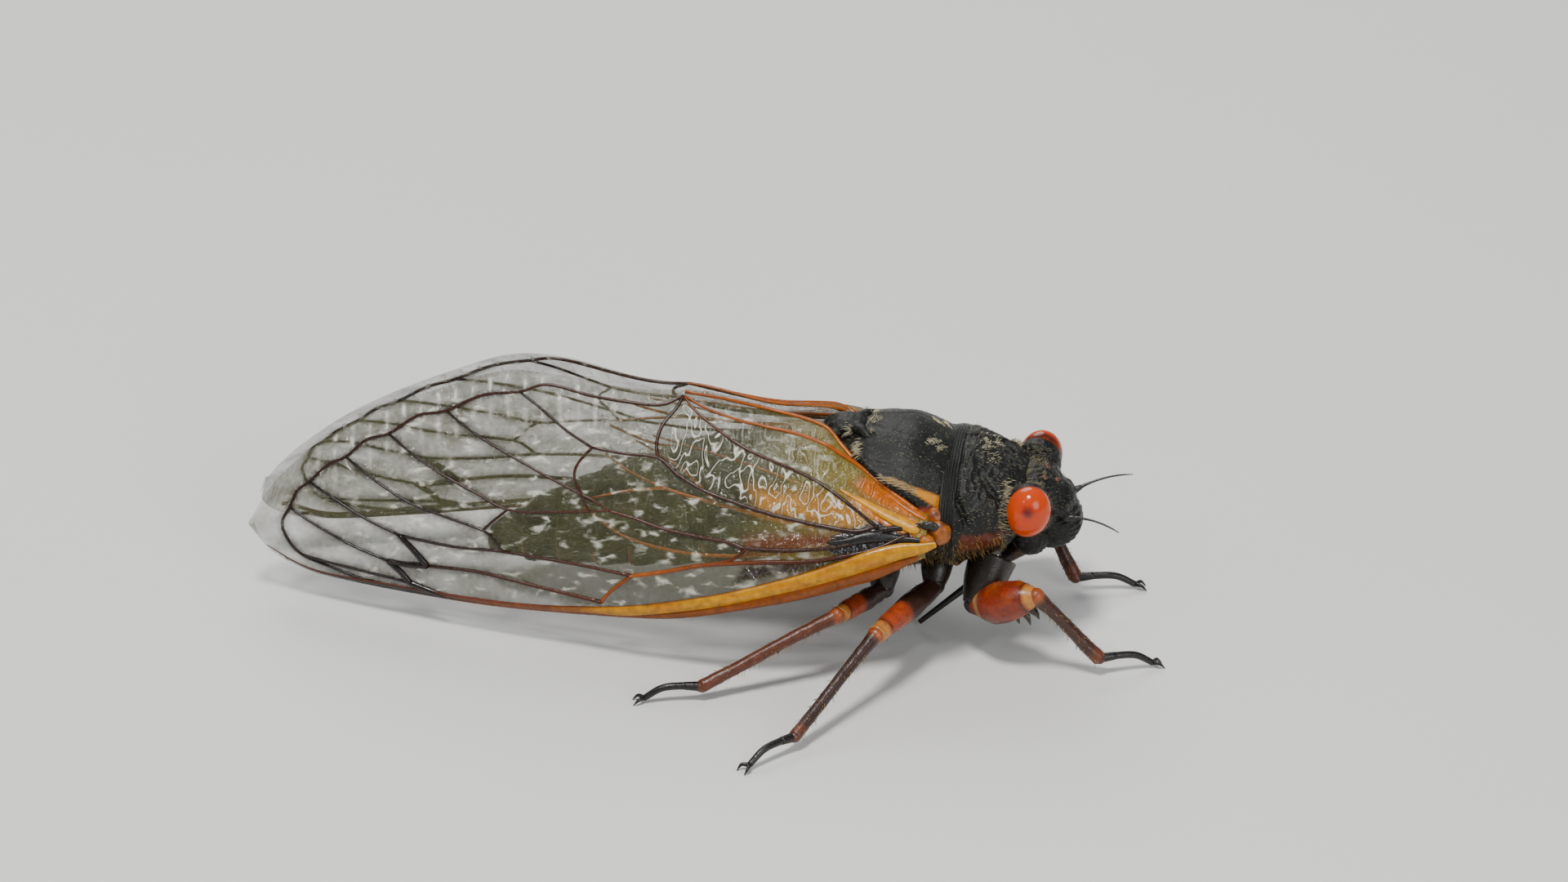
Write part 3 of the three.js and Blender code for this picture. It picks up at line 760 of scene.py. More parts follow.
pronotum = {
    "stations": [
        (4.1, 0.05, 2.7, 1.5, 2.0), (3.85, 0.05, 2.95, 1.72, 2.1), (3.4, 0.0, 3.25, 2.05, 2.5),
        (2.4, 0.0, 3.7, 2.45, 2.9), (1.5, 0.0, 4.15, 2.76, 3.1), (0.9, 0.0, 4.42, 2.76, 3.1),
        (0.5, 0.0, 4.35, 2.7, 3.0), (0.35, 0.0, 4.15, 2.55, 2.8),
    ],
    "grooves": [
        ([(2.1, 2.0, 2.1), (2.6, 2.5, 1.7), (3.1, 2.9, 1.14)], 0.14, -0.22),
        ([(1.26, 3.57, 1.55), (1.5, 3.85, 1.05), (1.73, 4.04, 0.46)], 0.14, -0.2),
        ([(3.5, 0.5, 2.0), (2.4, 0.85, 2.38), (1.5, 0.5, 2.75)], 0.12, -0.1),
        ([(3.46, 1.75, 1.79), (2.7, 1.4, 2.2), (2.0, 0.9, 2.5)], 0.16, 0.09),
        ([(1.22, 0.0, 2.86), (1.22, 2.2, 2.45), (1.25, 3.6, 1.6), (1.3, 4.2, 0.3)], 0.07, -0.1),
    ],
    "collarEdge": 1.12, "patchColour": (0.13, 0.022, 0.005),
}


def makePronotum():
    # wrinkled in front, with fine cross lines on the collar at its rear and a red-brown patch low on the side
    body = hull("pronotumShell", pronotum["stations"], 260, 200)
    points = carve(pointsOf(body), normalsOf(body), pronotum["grooves"])
    x, y, z = sideless(points)
    collar = 1 - ease(x, pronotum["collarEdge"] - 0.1, pronotum["collarEdge"] + 0.1)
    lines = np.sin(x * 46 + grain(points, 1.2, 2) * 2.4) * 0.028 * collar
    ridges = 1 - 2 * np.abs(grain(points * np.array([1, 0.55, 0.8]), 0.42, 7))
    coarse = (ridges * 0.055 + grain(points, 0.9, 3) * 0.06) * (1 - collar)
    fine = grain(points, 0.14, 4) * 0.022 * (1 - 0.6 * collar)
    lobe = 0.14 * np.exp(-((x - 2.5) / 0.7) ** 2 - ((y - 3.2) / 0.7) ** 2 - ((z - 1.1) / 0.7) ** 2)
    waist = -0.25 * ease(-z, 0.55, 1.1) * ease(x, 1.2, 1.6)
    points = points + normalsOf(body) * (lines + (coarse + fine) + lobe + waist)[:, None]
    edge = grain(points, 0.6, 11) * 0.25
    patch = between(x, 1.2, 1.6, 3.2, 3.6) * (1 - ease(z, edge - 0.35, edge)) * ease(z, -1.5, -1.15)
    colours = mixed(plain(len(points), black), pronotum["patchColour"], patch * 0.75)
    colours = mixed(colours, darkBrown, 1 - ease(z, -1.7, -1.3))
    reshape(body, points)
    keepSkin("pronotum", body)
    paint(body, np.hstack([colours, (0.7 - 0.4 * collar)[:, None]]))
    settle(body, shell, "cuticle", "pronotum", "prothorax")


head = {
    "lumps": [  # centre, half sizes and tip of each lump that the capsule is built up from
        ((4.55, 0, 0.15), (1.35, 2.85, 1.3), 0.1), ((5.2, 0, -0.95), (1.62, 1.42, 1.5), 0.25),
        ((5.45, 0, -0.1), (1.05, 1.45, 1.0), 0.3), ((4.35, 0, -0.6), (1.1, 2.3, 1.6), 0),
        ((4.4, 0, -2.15), (0.75, 0.6, 0.75), -0.3),
    ],
    "pairs": [
        ((4.4, 2.3, 0.55), (1.13, 0.85, 1.32), 0.2), ((4.5, 1.5, -1.25), (0.85, 0.85, 0.95), 0),
        ((5.75, 1.2, 0.12), (0.5, 0.5, 0.27), 0.3), ((6.1, 1.32, -0.25), (0.32, 0.26, 0.26), 0),
    ],
    "voxel": 0.06,
    "grooves": [
        ([(4.2, 0.0, 1.5), (5.2, 0.0, 1.2), (6.0, 0.0, 0.5)], 0.12, -0.07),
        ([(5.2, 0.95, 1.1), (5.9, 0.75, 0.55), (6.45, 0.5, -0.2)], 0.12, -0.06),
        ([(5.0, 1.5, -0.35), (5.9, 1.3, -0.5), (6.3, 1.0, -0.6)], 0.12, -0.1),
    ],
    "ribSpacing": 0.24, "ribDepth": 0.05, "rimColour": (0.1, 0.075, 0.035), "flecks": 0.8,
}


def makeHead():
    lumps = [ball("lump", place, size, 48, 32, tip) for place, size, tip in head["lumps"]]
    for place, size, tip in head["pairs"]:
        lumps += [ball("lump", mirrored(place, side), size, 40, 26, tip) for side in (-1, 1)]
    body = joined("headShell", lumps)
    applied(body, "REMESH", mode="VOXEL", voxel_size=head["voxel"])
    applied(body, "SMOOTH", factor=0.7, iterations=14)
    points = carve(pointsOf(body), normalsOf(body), head["grooves"])
    x, y, z = sideless(points)
    # ribs across the swollen face, to both sides of a smooth middle
    face = ease(y, 0.22, 0.45) * ease(x, 4.6, 5.1) * (1 - ease(z, -0.1, 0.25)) * ease(-z, 0.0, 0.3)
    turn = np.arctan2(z + 0.95, x - 4.2) * 1.9
    ribs = np.sin((turn + 0.1 * y) / head["ribSpacing"] * 2 * math.pi) * head["ribDepth"] * face
    crown = (1 - ease(x, 5.0, 5.5)) * ease(z, 0.5, 0.9) * (1 - ease(y, 1.9, 2.2))
    rough = (1 - 2 * np.abs(grain(points, 0.36, 1))) * (0.028 + 0.06 * crown)
    rough = rough + grain(points, 0.14, 6) * (0.018 + 0.02 * crown)
    points = points + normalsOf(body) * (ribs + rough)[:, None]
    rim = np.sqrt(((x - eyeAt[0]) / 1.2) ** 2 + ((z - eyeAt[2]) / 1.45) ** 2)
    rim = (1 - ease(np.abs(rim - 1), 0.03, 0.16)) * ease(y, 1.9, 2.3)
    colours = mixed(plain(len(points), black), head["rimColour"], rim * 0.6)
    reshape(body, points)
    keepSkin("head", body)
    paint(body, np.hstack([colours, np.full((len(points), 1), head["flecks"])]))
    settle(body, shell, "cuticle", "head", "postclypeus")


eye = {
    "size": (1.04, 1.0, 1.27), "tip": 0.2, "spot": (0.05, 0.84, 0.42), "spotSize": 0.26,
    "colour": (0.55, 0.045, 0.0), "haloColour": (0.36, 0.02, 0.01), "spotColour": (0.02, 0.008, 0.02),
    "innerColour": (0.05, 0.008, 0.004),
}
ocelli = {
    "beads": [((5.55, 0.0, 0.98), 0.15), ((5.02, 0.55, 1.33), 0.16), ((5.02, -0.55, 1.33), 0.16)],
    "colour": (0.12, 0.03, 0.012),
}


def makeEyes():
    for name, side in sides.items():
        centre = mirrored(eyeAt, side)
        obj = ball(f"eyeBall_{name}", centre, eye["size"], 96, 64, eye["tip"])
        local = pointsOf(obj) - centre
        reach = np.linalg.norm(local - mirrored(eye["spot"], side), axis=1)
        colours = mixed(plain(len(local), eye["colour"]), eye["haloColour"], (1 - ease(reach, 0.3, 0.75)) * 0.5)
        spot = 1 - ease(reach, eye["spotSize"] * 0.5, eye["spotSize"] * 1.5)
        colours = mixed(colours, eye["spotColour"], spot)
        colours = mixed(colours, eye["innerColour"], 1 - ease(local[:, 1] * side, -0.25, 0.1))
        paint(obj, colours)
        settle(obj, eyeRed, "eye", f"eye_{name}")
    beads = [ball("bead", place, (size, size, size * 0.7), 20, 12) for place, size in ocelli["beads"]]
    beads = joined("ocelli", beads)
    paint(beads, plain(len(beads.data.vertices), ocelli["colour"]))
    settle(beads, limbShell, "eye")


feelers = {
    "root": (6.25, 1.33, -0.27),
    "tips": {"right": (8.7, 2.0, -0.52), "left": (8.95, 2.1, 0.38)},
    "shares": (0, 0.12, 0.3, 0.55, 0.8, 1), "radii": (0.14, 0.1, 0.062, 0.052, 0.042, 0.02),
    "arch": 0.9, "foot": (0.2, 0.12), "colour": (0.012, 0.011, 0.009),
}


def makeFeelers():
    root = np.array(feelers["root"])
    for name, side in sides.items():
        tip = np.array(feelers["tips"][name])
        rises = [feelers["arch"] * share * (1 - share) for share in feelers["shares"]]
        line = [onWay(root, tip, share, rise) for share, rise in zip(feelers["shares"], rises)]
        line = mirrored(line, side)
        obj = tube(f"feeler_{name}", [(line, feelers["radii"]), (line[:2], feelers["foot"])], 10, 6)
        paint(obj, plain(len(obj.data.vertices), feelers["colour"]))
        settle(obj, limbShell, "black_cuticle", f"antenna_{name}")


beak = {
    "route": [(4.3, 0, -2.3), (3.1, -0.15, -3.4), (0.9, -0.6, -5.3), (-0.75, -0.95, -6.7)],
    "radii": (0.5, 0.26, 0.17, 0.12), "foot": (0.62, 0.3),
    "colour": (0.012, 0.01, 0.009), "rootColour": (0.09, 0.04, 0.015),
}


def makeBeak():
    obj = tube("beak", [(beak["route"], beak["radii"]), (beak["route"][:2], beak["foot"])], 12, 8)
    points = pointsOf(obj)
    paint(obj, mixed(plain(len(points), beak["colour"]), beak["rootColour"], ease(points[:, 0], 3.2, 4.2)))
    settle(obj, limbShell, "black_cuticle", "rostrum")


makePronotum()
makeHead()
makeEyes()
makeFeelers()
makeBeak()

print("stage: wings")

# Routes of the veins as (out, across), the radius at both ends, and the tone at both ends,
# from 0, yellow, over 0.35, orange, and 0.7, red-brown, to 1, black
veins = {
    "radius": (
        [(0.8, -0.5), (2.6, -1.35), (5.1, -1.85), (7.8, -1.95), (10.5, -2.0), (12.4, -2.25), (13.9, -2.4)],
        (0.14, 0.12), (0.95, 0.4),
    ),
    "radiusStem": ([(13.9, -2.4), (16.8, -1.75), (20.3, -1.1)], (0.11, 0.09), (0.75, 0.92)),
    "radiusEnd": ([(20.3, -1.1), (22.8, -0.9), (25.5, -0.4)], (0.09, 0.09), (0.92, 1)),
    "fifth": ([(25.5, -0.4), (27.4, 0.5), (28.9, 1.4), (30.2, 2.1)], (0.085, 0.075), (1, 1)),
    "subcosta": ([(13.9, -2.4), (14.8, -3.0), (15.4, -3.6)], (0.12, 0.1), (0.6, 0.5)),
    "lower": ([(15.4, -3.6), (18.3, -2.9), (21.5, -2.15), (24.1, -1.9)], (0.12, 0.1), (0.7, 0.95)),
    "seventh": ([(25.0, -2.8), (27.0, -2.35), (29.0, -1.9), (30.5, -1.5)], (0.09, 0.08), (1, 1)),
    "sixth": ([(26.1, -1.7), (28.0, -0.9), (29.8, 0.1), (31.1, 0.9)], (0.085, 0.075), (1, 1)),
    "zigA": ([(25.5, -0.4), (24.8, -1.1), (24.1, -1.9)], (0.15, 0.19), (1, 1)),
    "zigB": ([(24.1, -1.9), (25.2, -1.85), (26.1, -1.7)], (0.19, 0.15), (1, 1)),
    "zigC": ([(26.1, -1.7), (25.5, -2.2), (25.0, -2.8)], (0.16, 0.19), (1, 1)),
    "zigD": ([(25.0, -2.8), (24.2, -3.1), (23.3, -3.4)], (0.19, 0.16), (1, 1)),
    "fourth": (
        [(20.3, -1.1), (20.7, -0.6), (21.3, -0.1), (23.2, 0.55), (25.0, 1.2), (26.9, 2.3), (28.4, 3.3)],
        (0.09, 0.075), (0.95, 1),
    ),
    "third": (
        [(16.1, 0.7), (18.1, 0.75), (20.1, 0.9), (21.8, 1.75), (23.3, 2.5), (25.0, 3.5), (26.3, 4.4)],
        (0.08, 0.08), (0.8, 1),
    ),
    "thirdLink": ([(20.1, 0.9), (20.8, 0.35), (21.3, -0.1)], (0.08, 0.08), (0.9, 0.95)),
    "second": (
        [(15.2, 0.7), (15.9, 1.2), (16.5, 1.5), (18.1, 2.35), (19.8, 3.3), (21.8, 4.4), (23.5, 5.5)],
        (0.08, 0.08), (0.75, 1),
    ),
    "secondLink": ([(16.2, 3.7), (16.85, 2.9), (16.9, 2.2), (16.5, 1.5)], (0.08, 0.08), (0.85, 0.85)),
    "shortLink": ([(16.1, 0.7), (16.35, 1.1), (16.5, 1.5)], (0.07, 0.07), (0.8, 0.85)),
    "firstOut": ([(16.2, 3.7), (17.5, 4.55), (18.8, 5.6), (19.9, 6.4)], (0.08, 0.08), (0.9, 1)),
    "cubitus": (
        [(2.4, -0.2), (3.5, -0.5), (6.3, 0.0), (8.0, 0.45), (9.5, 1.0), (10.7, 1.5), (12.0, 2.3),
         (13.0, 3.1), (14.6, 3.35), (16.2, 3.7)],
        (0.13, 0.085), (0.92, 0.85),
    ),
    "media": (
        [(2.4, -0.6), (3.9, -1.2), (6.2, -1.4), (8.4, -1.3), (9.3, -1.0), (12.3, -0.3), (13.8, 0.25),
         (15.2, 0.7)],
        (0.12, 0.085), (0.95, 0.75),
    ),
    "mediaStart": ([(15.2, 0.7), (16.1, 0.7)], (0.08, 0.08), (0.75, 0.8)),
    "mediaLink": ([(8.4, -1.3), (9.1, -1.8), (10.2, -1.95)], (0.09, 0.08), (0.75, 0.6)),
    "arc": ([(13.0, 3.1), (13.15, 3.8), (12.95, 4.7), (12.4, 5.5), (12.15, 6.1)], (0.1, 0.1), (0.85, 0.95)),
    "claval": ([(2.4, -0.2), (5.4, 1.9), (8.9, 3.5), (11.3, 5.2), (12.15, 6.1)], (0.11, 0.07), (0.97, 0.6)),
    "anal": (
        [(0.6, 0.7), (1.4, 1.3), (2.5, 2.1), (3.4, 2.8), (4.4, 3.4), (5.4, 3.9), (6.8, 4.4), (8.2, 4.7),
         (9.6, 5.0), (11.0, 5.5), (12.1, 6.1)],
        (0.16, 0.075), (0.33, 0.55),
    ),
    "inner": (
        [(3.9, 3.3), (4.5, 3.95), (5.4, 4.85), (7.4, 5.5), (9.8, 5.95), (12.1, 6.3)],
        (0.13, 0.09), (0.38, 0.5),
    ),
    "margin": (
        [(12.15, 6.1), (13.2, 5.65), (14.8, 5.8), (16.6, 6.15), (18.6, 6.7), (19.9, 6.4), (21.7, 6.25),
         (23.5, 5.5), (24.9, 5.25), (26.3, 4.4), (27.4, 4.1), (28.4, 3.3), (29.3, 2.9), (30.2, 2.1),
         (30.8, 1.65), (31.1, 0.9), (31.45, 0.2), (31.2, -0.7), (30.5, -1.5), (29.2, -2.05), (27.4, -2.7),
         (25.0, -3.2)],
        (0.1, 0.09), (0.85, 1),
    ),
    "baseCell": ([(2.4, -0.2), (2.1, -0.45), (2.4, -0.6)], (0.12, 0.12), (1, 1)),
    "baseStem": ([(0.3, -0.1), (1.2, -0.2), (2.3, -0.4)], (0.2, 0.16), (0.95, 1)),
}
veinTones = {
    0.0: (0.62, 0.28, 0.005), 0.35: (0.5, 0.11, 0.003), 0.7: (0.08, 0.016, 0.003), 1.0: (0.006, 0.005, 0.004),
}
blackTone = 0.93  # veins this dark or darker have a smoky border in the film
costa = {  # the front edge's two bands, as rows of out, across and half width
    "rib": {
        "rows": [
            (-0.5, -0.95, 0.12), (0.2, -1.15, 0.24), (1.2, -1.32, 0.36), (2.4, -1.72, 0.42), (4.0, -2.28, 0.38),
            (6.7, -3.03, 0.32), (9.6, -3.6, 0.29), (13.6, -4.0, 0.25), (16.0, -3.96, 0.16), (20.0, -3.72, 0.11),
            (26.0, -2.97, 0.09), (30.0, -2.3, 0.07), (32.4, -1.1, 0.05),
        ],
        "colour": (0.6, 0.26, 0.0), "lift": 0.1,
    },
    "flange": {
        "rows": [
            (0.3, -1.5, 0.1), (1.4, -1.95, 0.2), (2.8, -2.45, 0.28), (5.7, -3.25, 0.28), (8.6, -3.82, 0.24),
            (12.0, -4.22, 0.17), (16.0, -4.12, 0.1), (22.0, -3.65, 0.08), (29.0, -2.6, 0.06),
            (31.5, -1.75, 0.05),
        ],
        "colour": (0.22, 0.05, 0.001), "lift": 0.0,
    },
}
costaTones = {
    "far": (0.2, 0.05, 0.01), "tip": (0.012, 0.008, 0.006), "streak": (0.45, 0.13, 0.0), "upper": (0.12, 0.02, 0.006),
}


def toneColour(tone):
    channels = zip(*veinTones.values())
    return np.stack([np.interp(tone, list(veinTones), channel) for channel in channels], axis=-1)


def onWing(route, steps):
    # a smooth line through places on the wing, with no lift
    return throughPoints([(row[0], row[1], 0) for row in route], (len(route) - 1) * steps)


def makeVeins(name, side, routes, lift):
    pieces = []
    for vein, (route, radii, tones) in routes.items():
        flat = onWing(route, 6)
        line = wingPoint(side, flat[:, 0], flat[:, 1], lift)
        piece = tube(vein, [(line, [r * 0.85 for r in radii])], 8, 1)
        points = pointsOf(piece)
        near = np.array([np.argmin(((line - p) ** 2).sum(1)) for p in points]) / (len(line) - 1)
        paint(piece, toneColour(tones[0] + (tones[1] - tones[0]) * near))
        pieces.append(piece)
    return joined(name, pieces)


def strap(side, rows, flat, lift, steps):
    # a band in the wing's own plane: rows of out, across and half width, and its thickness to its width
    line = onWing(rows, steps)
    shares = np.linspace(0, 1, len(rows))
    widths = smoothAt(list(zip(shares, [row[2] for row in rows])), np.linspace(0, 1, len(line)))
    band = tube("band", [(line, list(widths))], 14, 1)
    p = pointsOf(band)
    out = np.maximum(p[:, 0], 0)
    placed = wingPoint(side, out, p[:, 1], lift + p[:, 2] * flat)
    placed[:, 0] += wing["slope"] * (out - p[:, 0])
    return reshape(band, placed), p


def makeCosta(side):
    # both bands darken out along the wing, and the rib is streaked, with a dark upper edge
    pieces = []
    for kind, edge in costa.items():
        band, p = strap(side, edge["rows"], 0.6, edge["lift"], 10)
        far = ease(p[:, 0], 13.5, 18.5)
        colours = mixed(plain(len(p), edge["colour"]), costaTones["far"], far)
        colours = mixed(colours, costaTones["tip"], ease(p[:, 0], 20, 25))
        if kind == "rib":
            streak = ease(grain(p * np.array([0.25, 1.6, 1]), 0.5, side), 0.0, 0.5) * (1 - far)
            colours = mixed(colours, costaTones["streak"], streak * 0.55)
            upper = smoothAt([(row[0], row[1] + row[2]) for row in edge["rows"]], p[:, 0])
            rim = ease(p[:, 1] - upper, -0.12, -0.02) * ease(p[:, 0], 2.5, 4) * 0.9
            colours = mixed(colours, costaTones["upper"], rim)
        pieces.append(paint(band, colours))
    return pieces


filmLook = {
    # the bars' tone is the colour of the painted highlights on the fold bars along the hind edge
    "tone": (0.095, 0.092, 0.032), "rootTone": (0.4, 0.3, 0.05), "barHighlightTone": (0.88, 0.88, 0.8),
    "smokeTone": (0.03, 0.025, 0.008), "barSpacing": 0.85, "foldSpacing": 1.05,
    "smokeAt": (25.0, -1.9), "smokeSize": (1.1, 0.9), "smokyBorder": 0.24, "thickness": 0.05,
}
filmFields = {  # outlines as out and across, then their colour, opacity and softness
    "cubitalRoot": (
        [(8.6, 1.6), (4.1, 1.15), (2.54, 0.16), (3.45, -0.44), (4.93, -0.2), (8.0, 0.35)],
        (0.5, 0.22, 0.02), 0.55, 0.5,
    ),
    "brown": (
        [(8.6, -0.7), (3.4, -0.5), (3.7, -1.25), (5.64, -1.45), (8.6, -1.6)],
        (0.13, 0.035, 0.006), 0.8, 0.4,
    ),
    "darkFront": (
        [(8.5, -2.05), (5.3, -1.85), (0.7, -0.9), (1.95, -1.2), (3.85, -1.85), (5.3, -2.35), (9.0, -2.9)],
        (0.02, 0.008, 0.004), 0.88, 0.3,
    ),
    "redFilm": (
        [(3.1, 2.4), (0.5, 0.85), (0.74, 0.2), (2.04, 0.72), (3.0, 1.2), (3.7, 1.9)],
        (0.55, 0.13, 0.008), 0.85, 0.35,
    ),
    "wedge": (
        [(4.12, 1.5), (2.42, 0.75), (0.5, 0.24), (0.5, -0.7), (2.02, -0.24), (3.19, 0.6)],
        (0.6, 0.17, 0.012), 0.9, 0.12,
    ),
    "basalCell": (
        [(4.4, -0.75), (3.6, -0.42), (2.3, 0.1), (1.6, -0.35), (0.5, -0.6), (0.6, -1.1), (1.95, -1.35),
         (3.5, -1.75), (4.6, -1.5)],
        (0.005, 0.004, 0.004), 0.99, 0.12,
    ),
}
filmKinds = {
    "forewing": {
        "front": wing["front"], "hind": wing["hind"], "lift": 0.0, "columns": 300, "rows": 90, "seed": 3.0,
        "clear": 0.28, "opacity": 1, "worms": 1, "gleam": 1,
    },
    "hindwing": {
        "front": rearWing["front"], "hind": rearWing["hind"], "lift": -rearWing["drop"], "columns": 120,
        "rows": 50, "seed": 7.0, "clear": 0.06, "opacity": 0.6, "worms": 0, "gleam": 0.4,
    },
}


def wrinkles(out, across, seed):
    # folds of the film: soft dents all over, worm-like folds near the body and bars along the hind edge
    flat = np.stack([out, across, np.full(len(out), seed)], axis=1)
    high, low = smoothAt(wing["hind"], out), smoothAt(wing["front"], out)
    dents = grain(flat * np.array([0.8, 1, 1]), 1.1) * 0.09 + grain(flat, 0.5, 3) * 0.025
    swirl = grain(flat, 1.25, 8)
    claval = -0.2 + 0.42 * (out - 2.4)
    inCell = between(out, 2.5, 4.5, 12.2, 13.2)
    inCell = inCell * between(across, claval - 2.4, claval - 1.6, claval + 0.5, claval + 1.4)
    worms = np.sin(swirl * 26) * 0.05 * inCell
    edge = high - across
    bars = np.sin(out * 2 * math.pi / filmLook["foldSpacing"] + edge * 0.5) * 0.05
    bars = bars * ease(out, 14, 17) * between(edge, 0.5, 1.2, 2.6, 3.4)
    hem = ease(across - low, 0.9, 1.6) * ease(edge, 0.0, 0.4) * ease(out, 1.2, 2.6)
    return (dents + worms + bars) * hem


def flatReach(out, across, a, b):
    # how far places on the wing are from the straight line between two others
    d = b - a
    t = np.clip(((out - a[0]) * d[0] + (across - a[1]) * d[1]) / (d @ d), 0, 1)
    return np.hypot(out - a[0] - t * d[0], across - a[1] - t * d[1])


def withinShape(outline, out, across, soft):
    # 1 inside an outline and 0 outside, with a soft edge
    shape = np.array(outline, float)
    turns, far = np.zeros(len(out)), np.full(len(out), 1e9)
    for a, b in zip(shape, np.roll(shape, -1, axis=0)):
        far = np.minimum(far, flatReach(out, across, a, b))
        rise = b[1] - a[1]
        if abs(rise) > 1e-9:
            reach = (across - a[1]) / rise * (b[0] - a[0]) + a[0]
            turns += ((a[1] > across) != (b[1] > across)) & (out < reach)
    inside = np.where(turns % 2 == 1, far, -far)
    return ease(inside, -soft, soft)


def darkVeins(out, across):
    # how near the film is to a black vein, from 0 to 1, for the smoky borders of the outer veins
    far = np.full(len(out), 9.0)
    for route, _, tones in veins.values():
        if max(tones) >= blackTone:
            line = onWing(route, 3)[:, :2]
            for a, b in zip(line[:-1], line[1:]):
                far = np.minimum(far, flatReach(out, across, a, b))
    return np.exp(-(far / filmLook["smokyBorder"]) ** 2) * ease(out, 17, 22)


def filmTint(out, across, clear):
    # RGB and opacity over the wing: yellow at the root, painted highlight bars on the fold crests along the hind
    # edge, painted fields and smoke along the black veins
    haze = grain(np.stack([out, across * 1.6, out * 0], axis=1), 1.6, 4)
    base = 1 - ease(out, 3.0, 9.5)
    colours = mixed(plain(len(out), filmLook["tone"]), filmLook["rootTone"], base * 0.8)
    opacity = clear * (1 + 0.6 * haze) + 0.1 * base
    edge = smoothAt(wing["hind"], out) - across
    # painted highlights: pale, more opaque bars where the folds along the hind edge would catch the light
    bars = np.maximum(0, np.sin(out * 2 * math.pi / filmLook["barSpacing"] + edge * 0.9)) ** 3
    bars = bars * between(out, 14, 16, 29, 31) * ease(edge, 0.05, 0.3)
    bars = bars * (1 - 0.4 * ease(edge, 0.9, 1.3)) * (1 - ease(edge, 2.2, 3.0))
    bars = bars * ease(grain(np.stack([out, across * 2, out * 0], axis=1), 0.8, 2), -0.4, 0.15)
    colours = mixed(colours, filmLook["barHighlightTone"], bars)
    opacity = np.maximum(opacity, 0.75 * bars)
    for outline, colour, most, soft in filmFields.values():
        share = withinShape(outline, out, across, soft)
        colours = mixed(colours, colour, share)
        opacity = np.maximum(opacity, most * share)
    (smokeOut, smokeAcross), (long, wide) = filmLook["smokeAt"], filmLook["smokeSize"]
    smoke = np.exp(-(((out - smokeOut) / long) ** 2 + ((across - smokeAcross) / wide) ** 2))
    smoke = np.maximum(smoke * 0.6, darkVeins(out, across))
    colours = mixed(colours, filmLook["smokeTone"], smoke)
    opacity = opacity + 0.3 * smoke
    return np.hstack([colours, np.clip(opacity, 0, 1)[:, None]])


def filmPlace(out, across):
    # where the film is, how worm-like its folds are and how strongly its painted glints show
    claval = smoothAt([(2.4, -0.2), (5.4, 1.9), (8.9, 3.5), (11.3, 5.2), (12.2, 6.1)], out)
    cubital = smoothAt([(2.4, -0.3), (3.5, -0.5), (6.3, 0.0), (9.5, 1.0), (10.7, 1.5), (13.0, 3.1)], out)
    high = smoothAt(wing["hind"], out)
    inCell = between(across, cubital, cubital + 0.25, claval - 0.2, claval + 0.05)
    inCell = inCell * between(out, 2.6, 3.6, 12.2, 12.9)
    clavus = between(across, claval, claval + 0.3, high - 0.9, high - 0.2) * between(out, 2.8, 4.0, 10.5, 12)
    # painted glints: none at the root, fewer towards the tip, none in the worm cell and few over the dark fields
    gleam = 0.85 * ease(out, 4.0, 6.0) * (1 - 0.6 * ease(out, 25, 30))
    gleam = gleam * ease(high - across, 0.2, 0.8) * (1 - inCell)
    for dark in ("brown", "darkFront", "basalCell"):
        gleam = gleam * (1 - 0.85 * withinShape(filmFields[dark][0], out, across, 0.3))
    worms = np.clip(inCell + clavus * 0.45, 0, 1)
    return np.stack([out / placeScale, across / placeScale, worms, gleam], axis=1)


def makeFilm(name, side, kind):
    bpy.ops.mesh.primitive_grid_add(x_subdivisions=kind["columns"], y_subdivisions=kind["rows"], size=2)
    film = bpy.context.object
    film.name = name
    p = pointsOf(film)
    first, last = kind["front"][0][0], kind["front"][-1][0]
    share = (p[:, 0] + 1) / 2
    share = np.sin(share * math.pi / 2) * 0.35 + share * 0.65
    out = first + (last - first) * share
    low, high = smoothAt(kind["front"], out), smoothAt(kind["hind"], out)
    across = low + (high - low) * (p[:, 1] + 1) / 2
    fold = wrinkles(out, across, side * kind["seed"])
    reshape(film, wingPoint(side, out, across, kind["lift"] + fold))
    paint(film, filmTint(out, across, kind["clear"]) * np.array([1, 1, 1, kind["opacity"]]))
    place = filmPlace(out, across) * np.array([1, 1, kind["worms"], kind["gleam"]])
    film.data.attributes.new("place", "FLOAT_COLOR", "POINT").data.foreach_set("color", place.ravel())
    applied(film, "SOLIDIFY", thickness=filmLook["thickness"], offset=0)
    return tidyFaces(film, 0.0001)


rearVeins = {
    "a": ([(1.8, 0.0), (6, -0.1), (10, 0.9), (12.6, 1.7), (14.5, 2.6), (15.6, 3.4)], (0.13, 0.07), (0.2, 0.5)),
    "b": ([(12.6, 1.7), (14.5, 1.6), (16.2, 1.3)], (0.09, 0.06), (0.3, 0.5)),
    "c": ([(1.8, -0.1), (5, -1.2), (10, -1.5), (14, -0.7), (16.5, 0.9)], (0.14, 0.07), (0.1, 0.5)),
    "d": ([(1.8, 0.2), (5, 1.4), (9, 2.9), (13.4, 4.2)], (0.11, 0.06), (0.3, 0.6)),
    "e": ([(10, 0.9), (12, 2.7), (14.2, 4.0)], (0.08, 0.06), (0.3, 0.6)),
}


def makeWings():
    for name, side in sides.items():
        film = makeFilm(f"forewingFilm_{name}", side, filmKinds["forewing"])
        settle(film, wingFilm, "wing", f"forewing_{name}")
        ribs = joined(f"forewingVeins_{name}", [makeVeins("veins", side, veins, 0.03), *makeCosta(side)])
        settle(ribs, veinShell, "wing")
        rear = makeFilm(f"hindwingFilm_{name}", side, filmKinds["hindwing"])
        settle(rear, wingFilm, "wing", f"hindwing_{name}")
        settle(makeVeins(f"hindwingVeins_{name}", side, rearVeins, 0.03 - rearWing["drop"]), veinShell, "wing")


makeWings()

print("stage: wing roots")

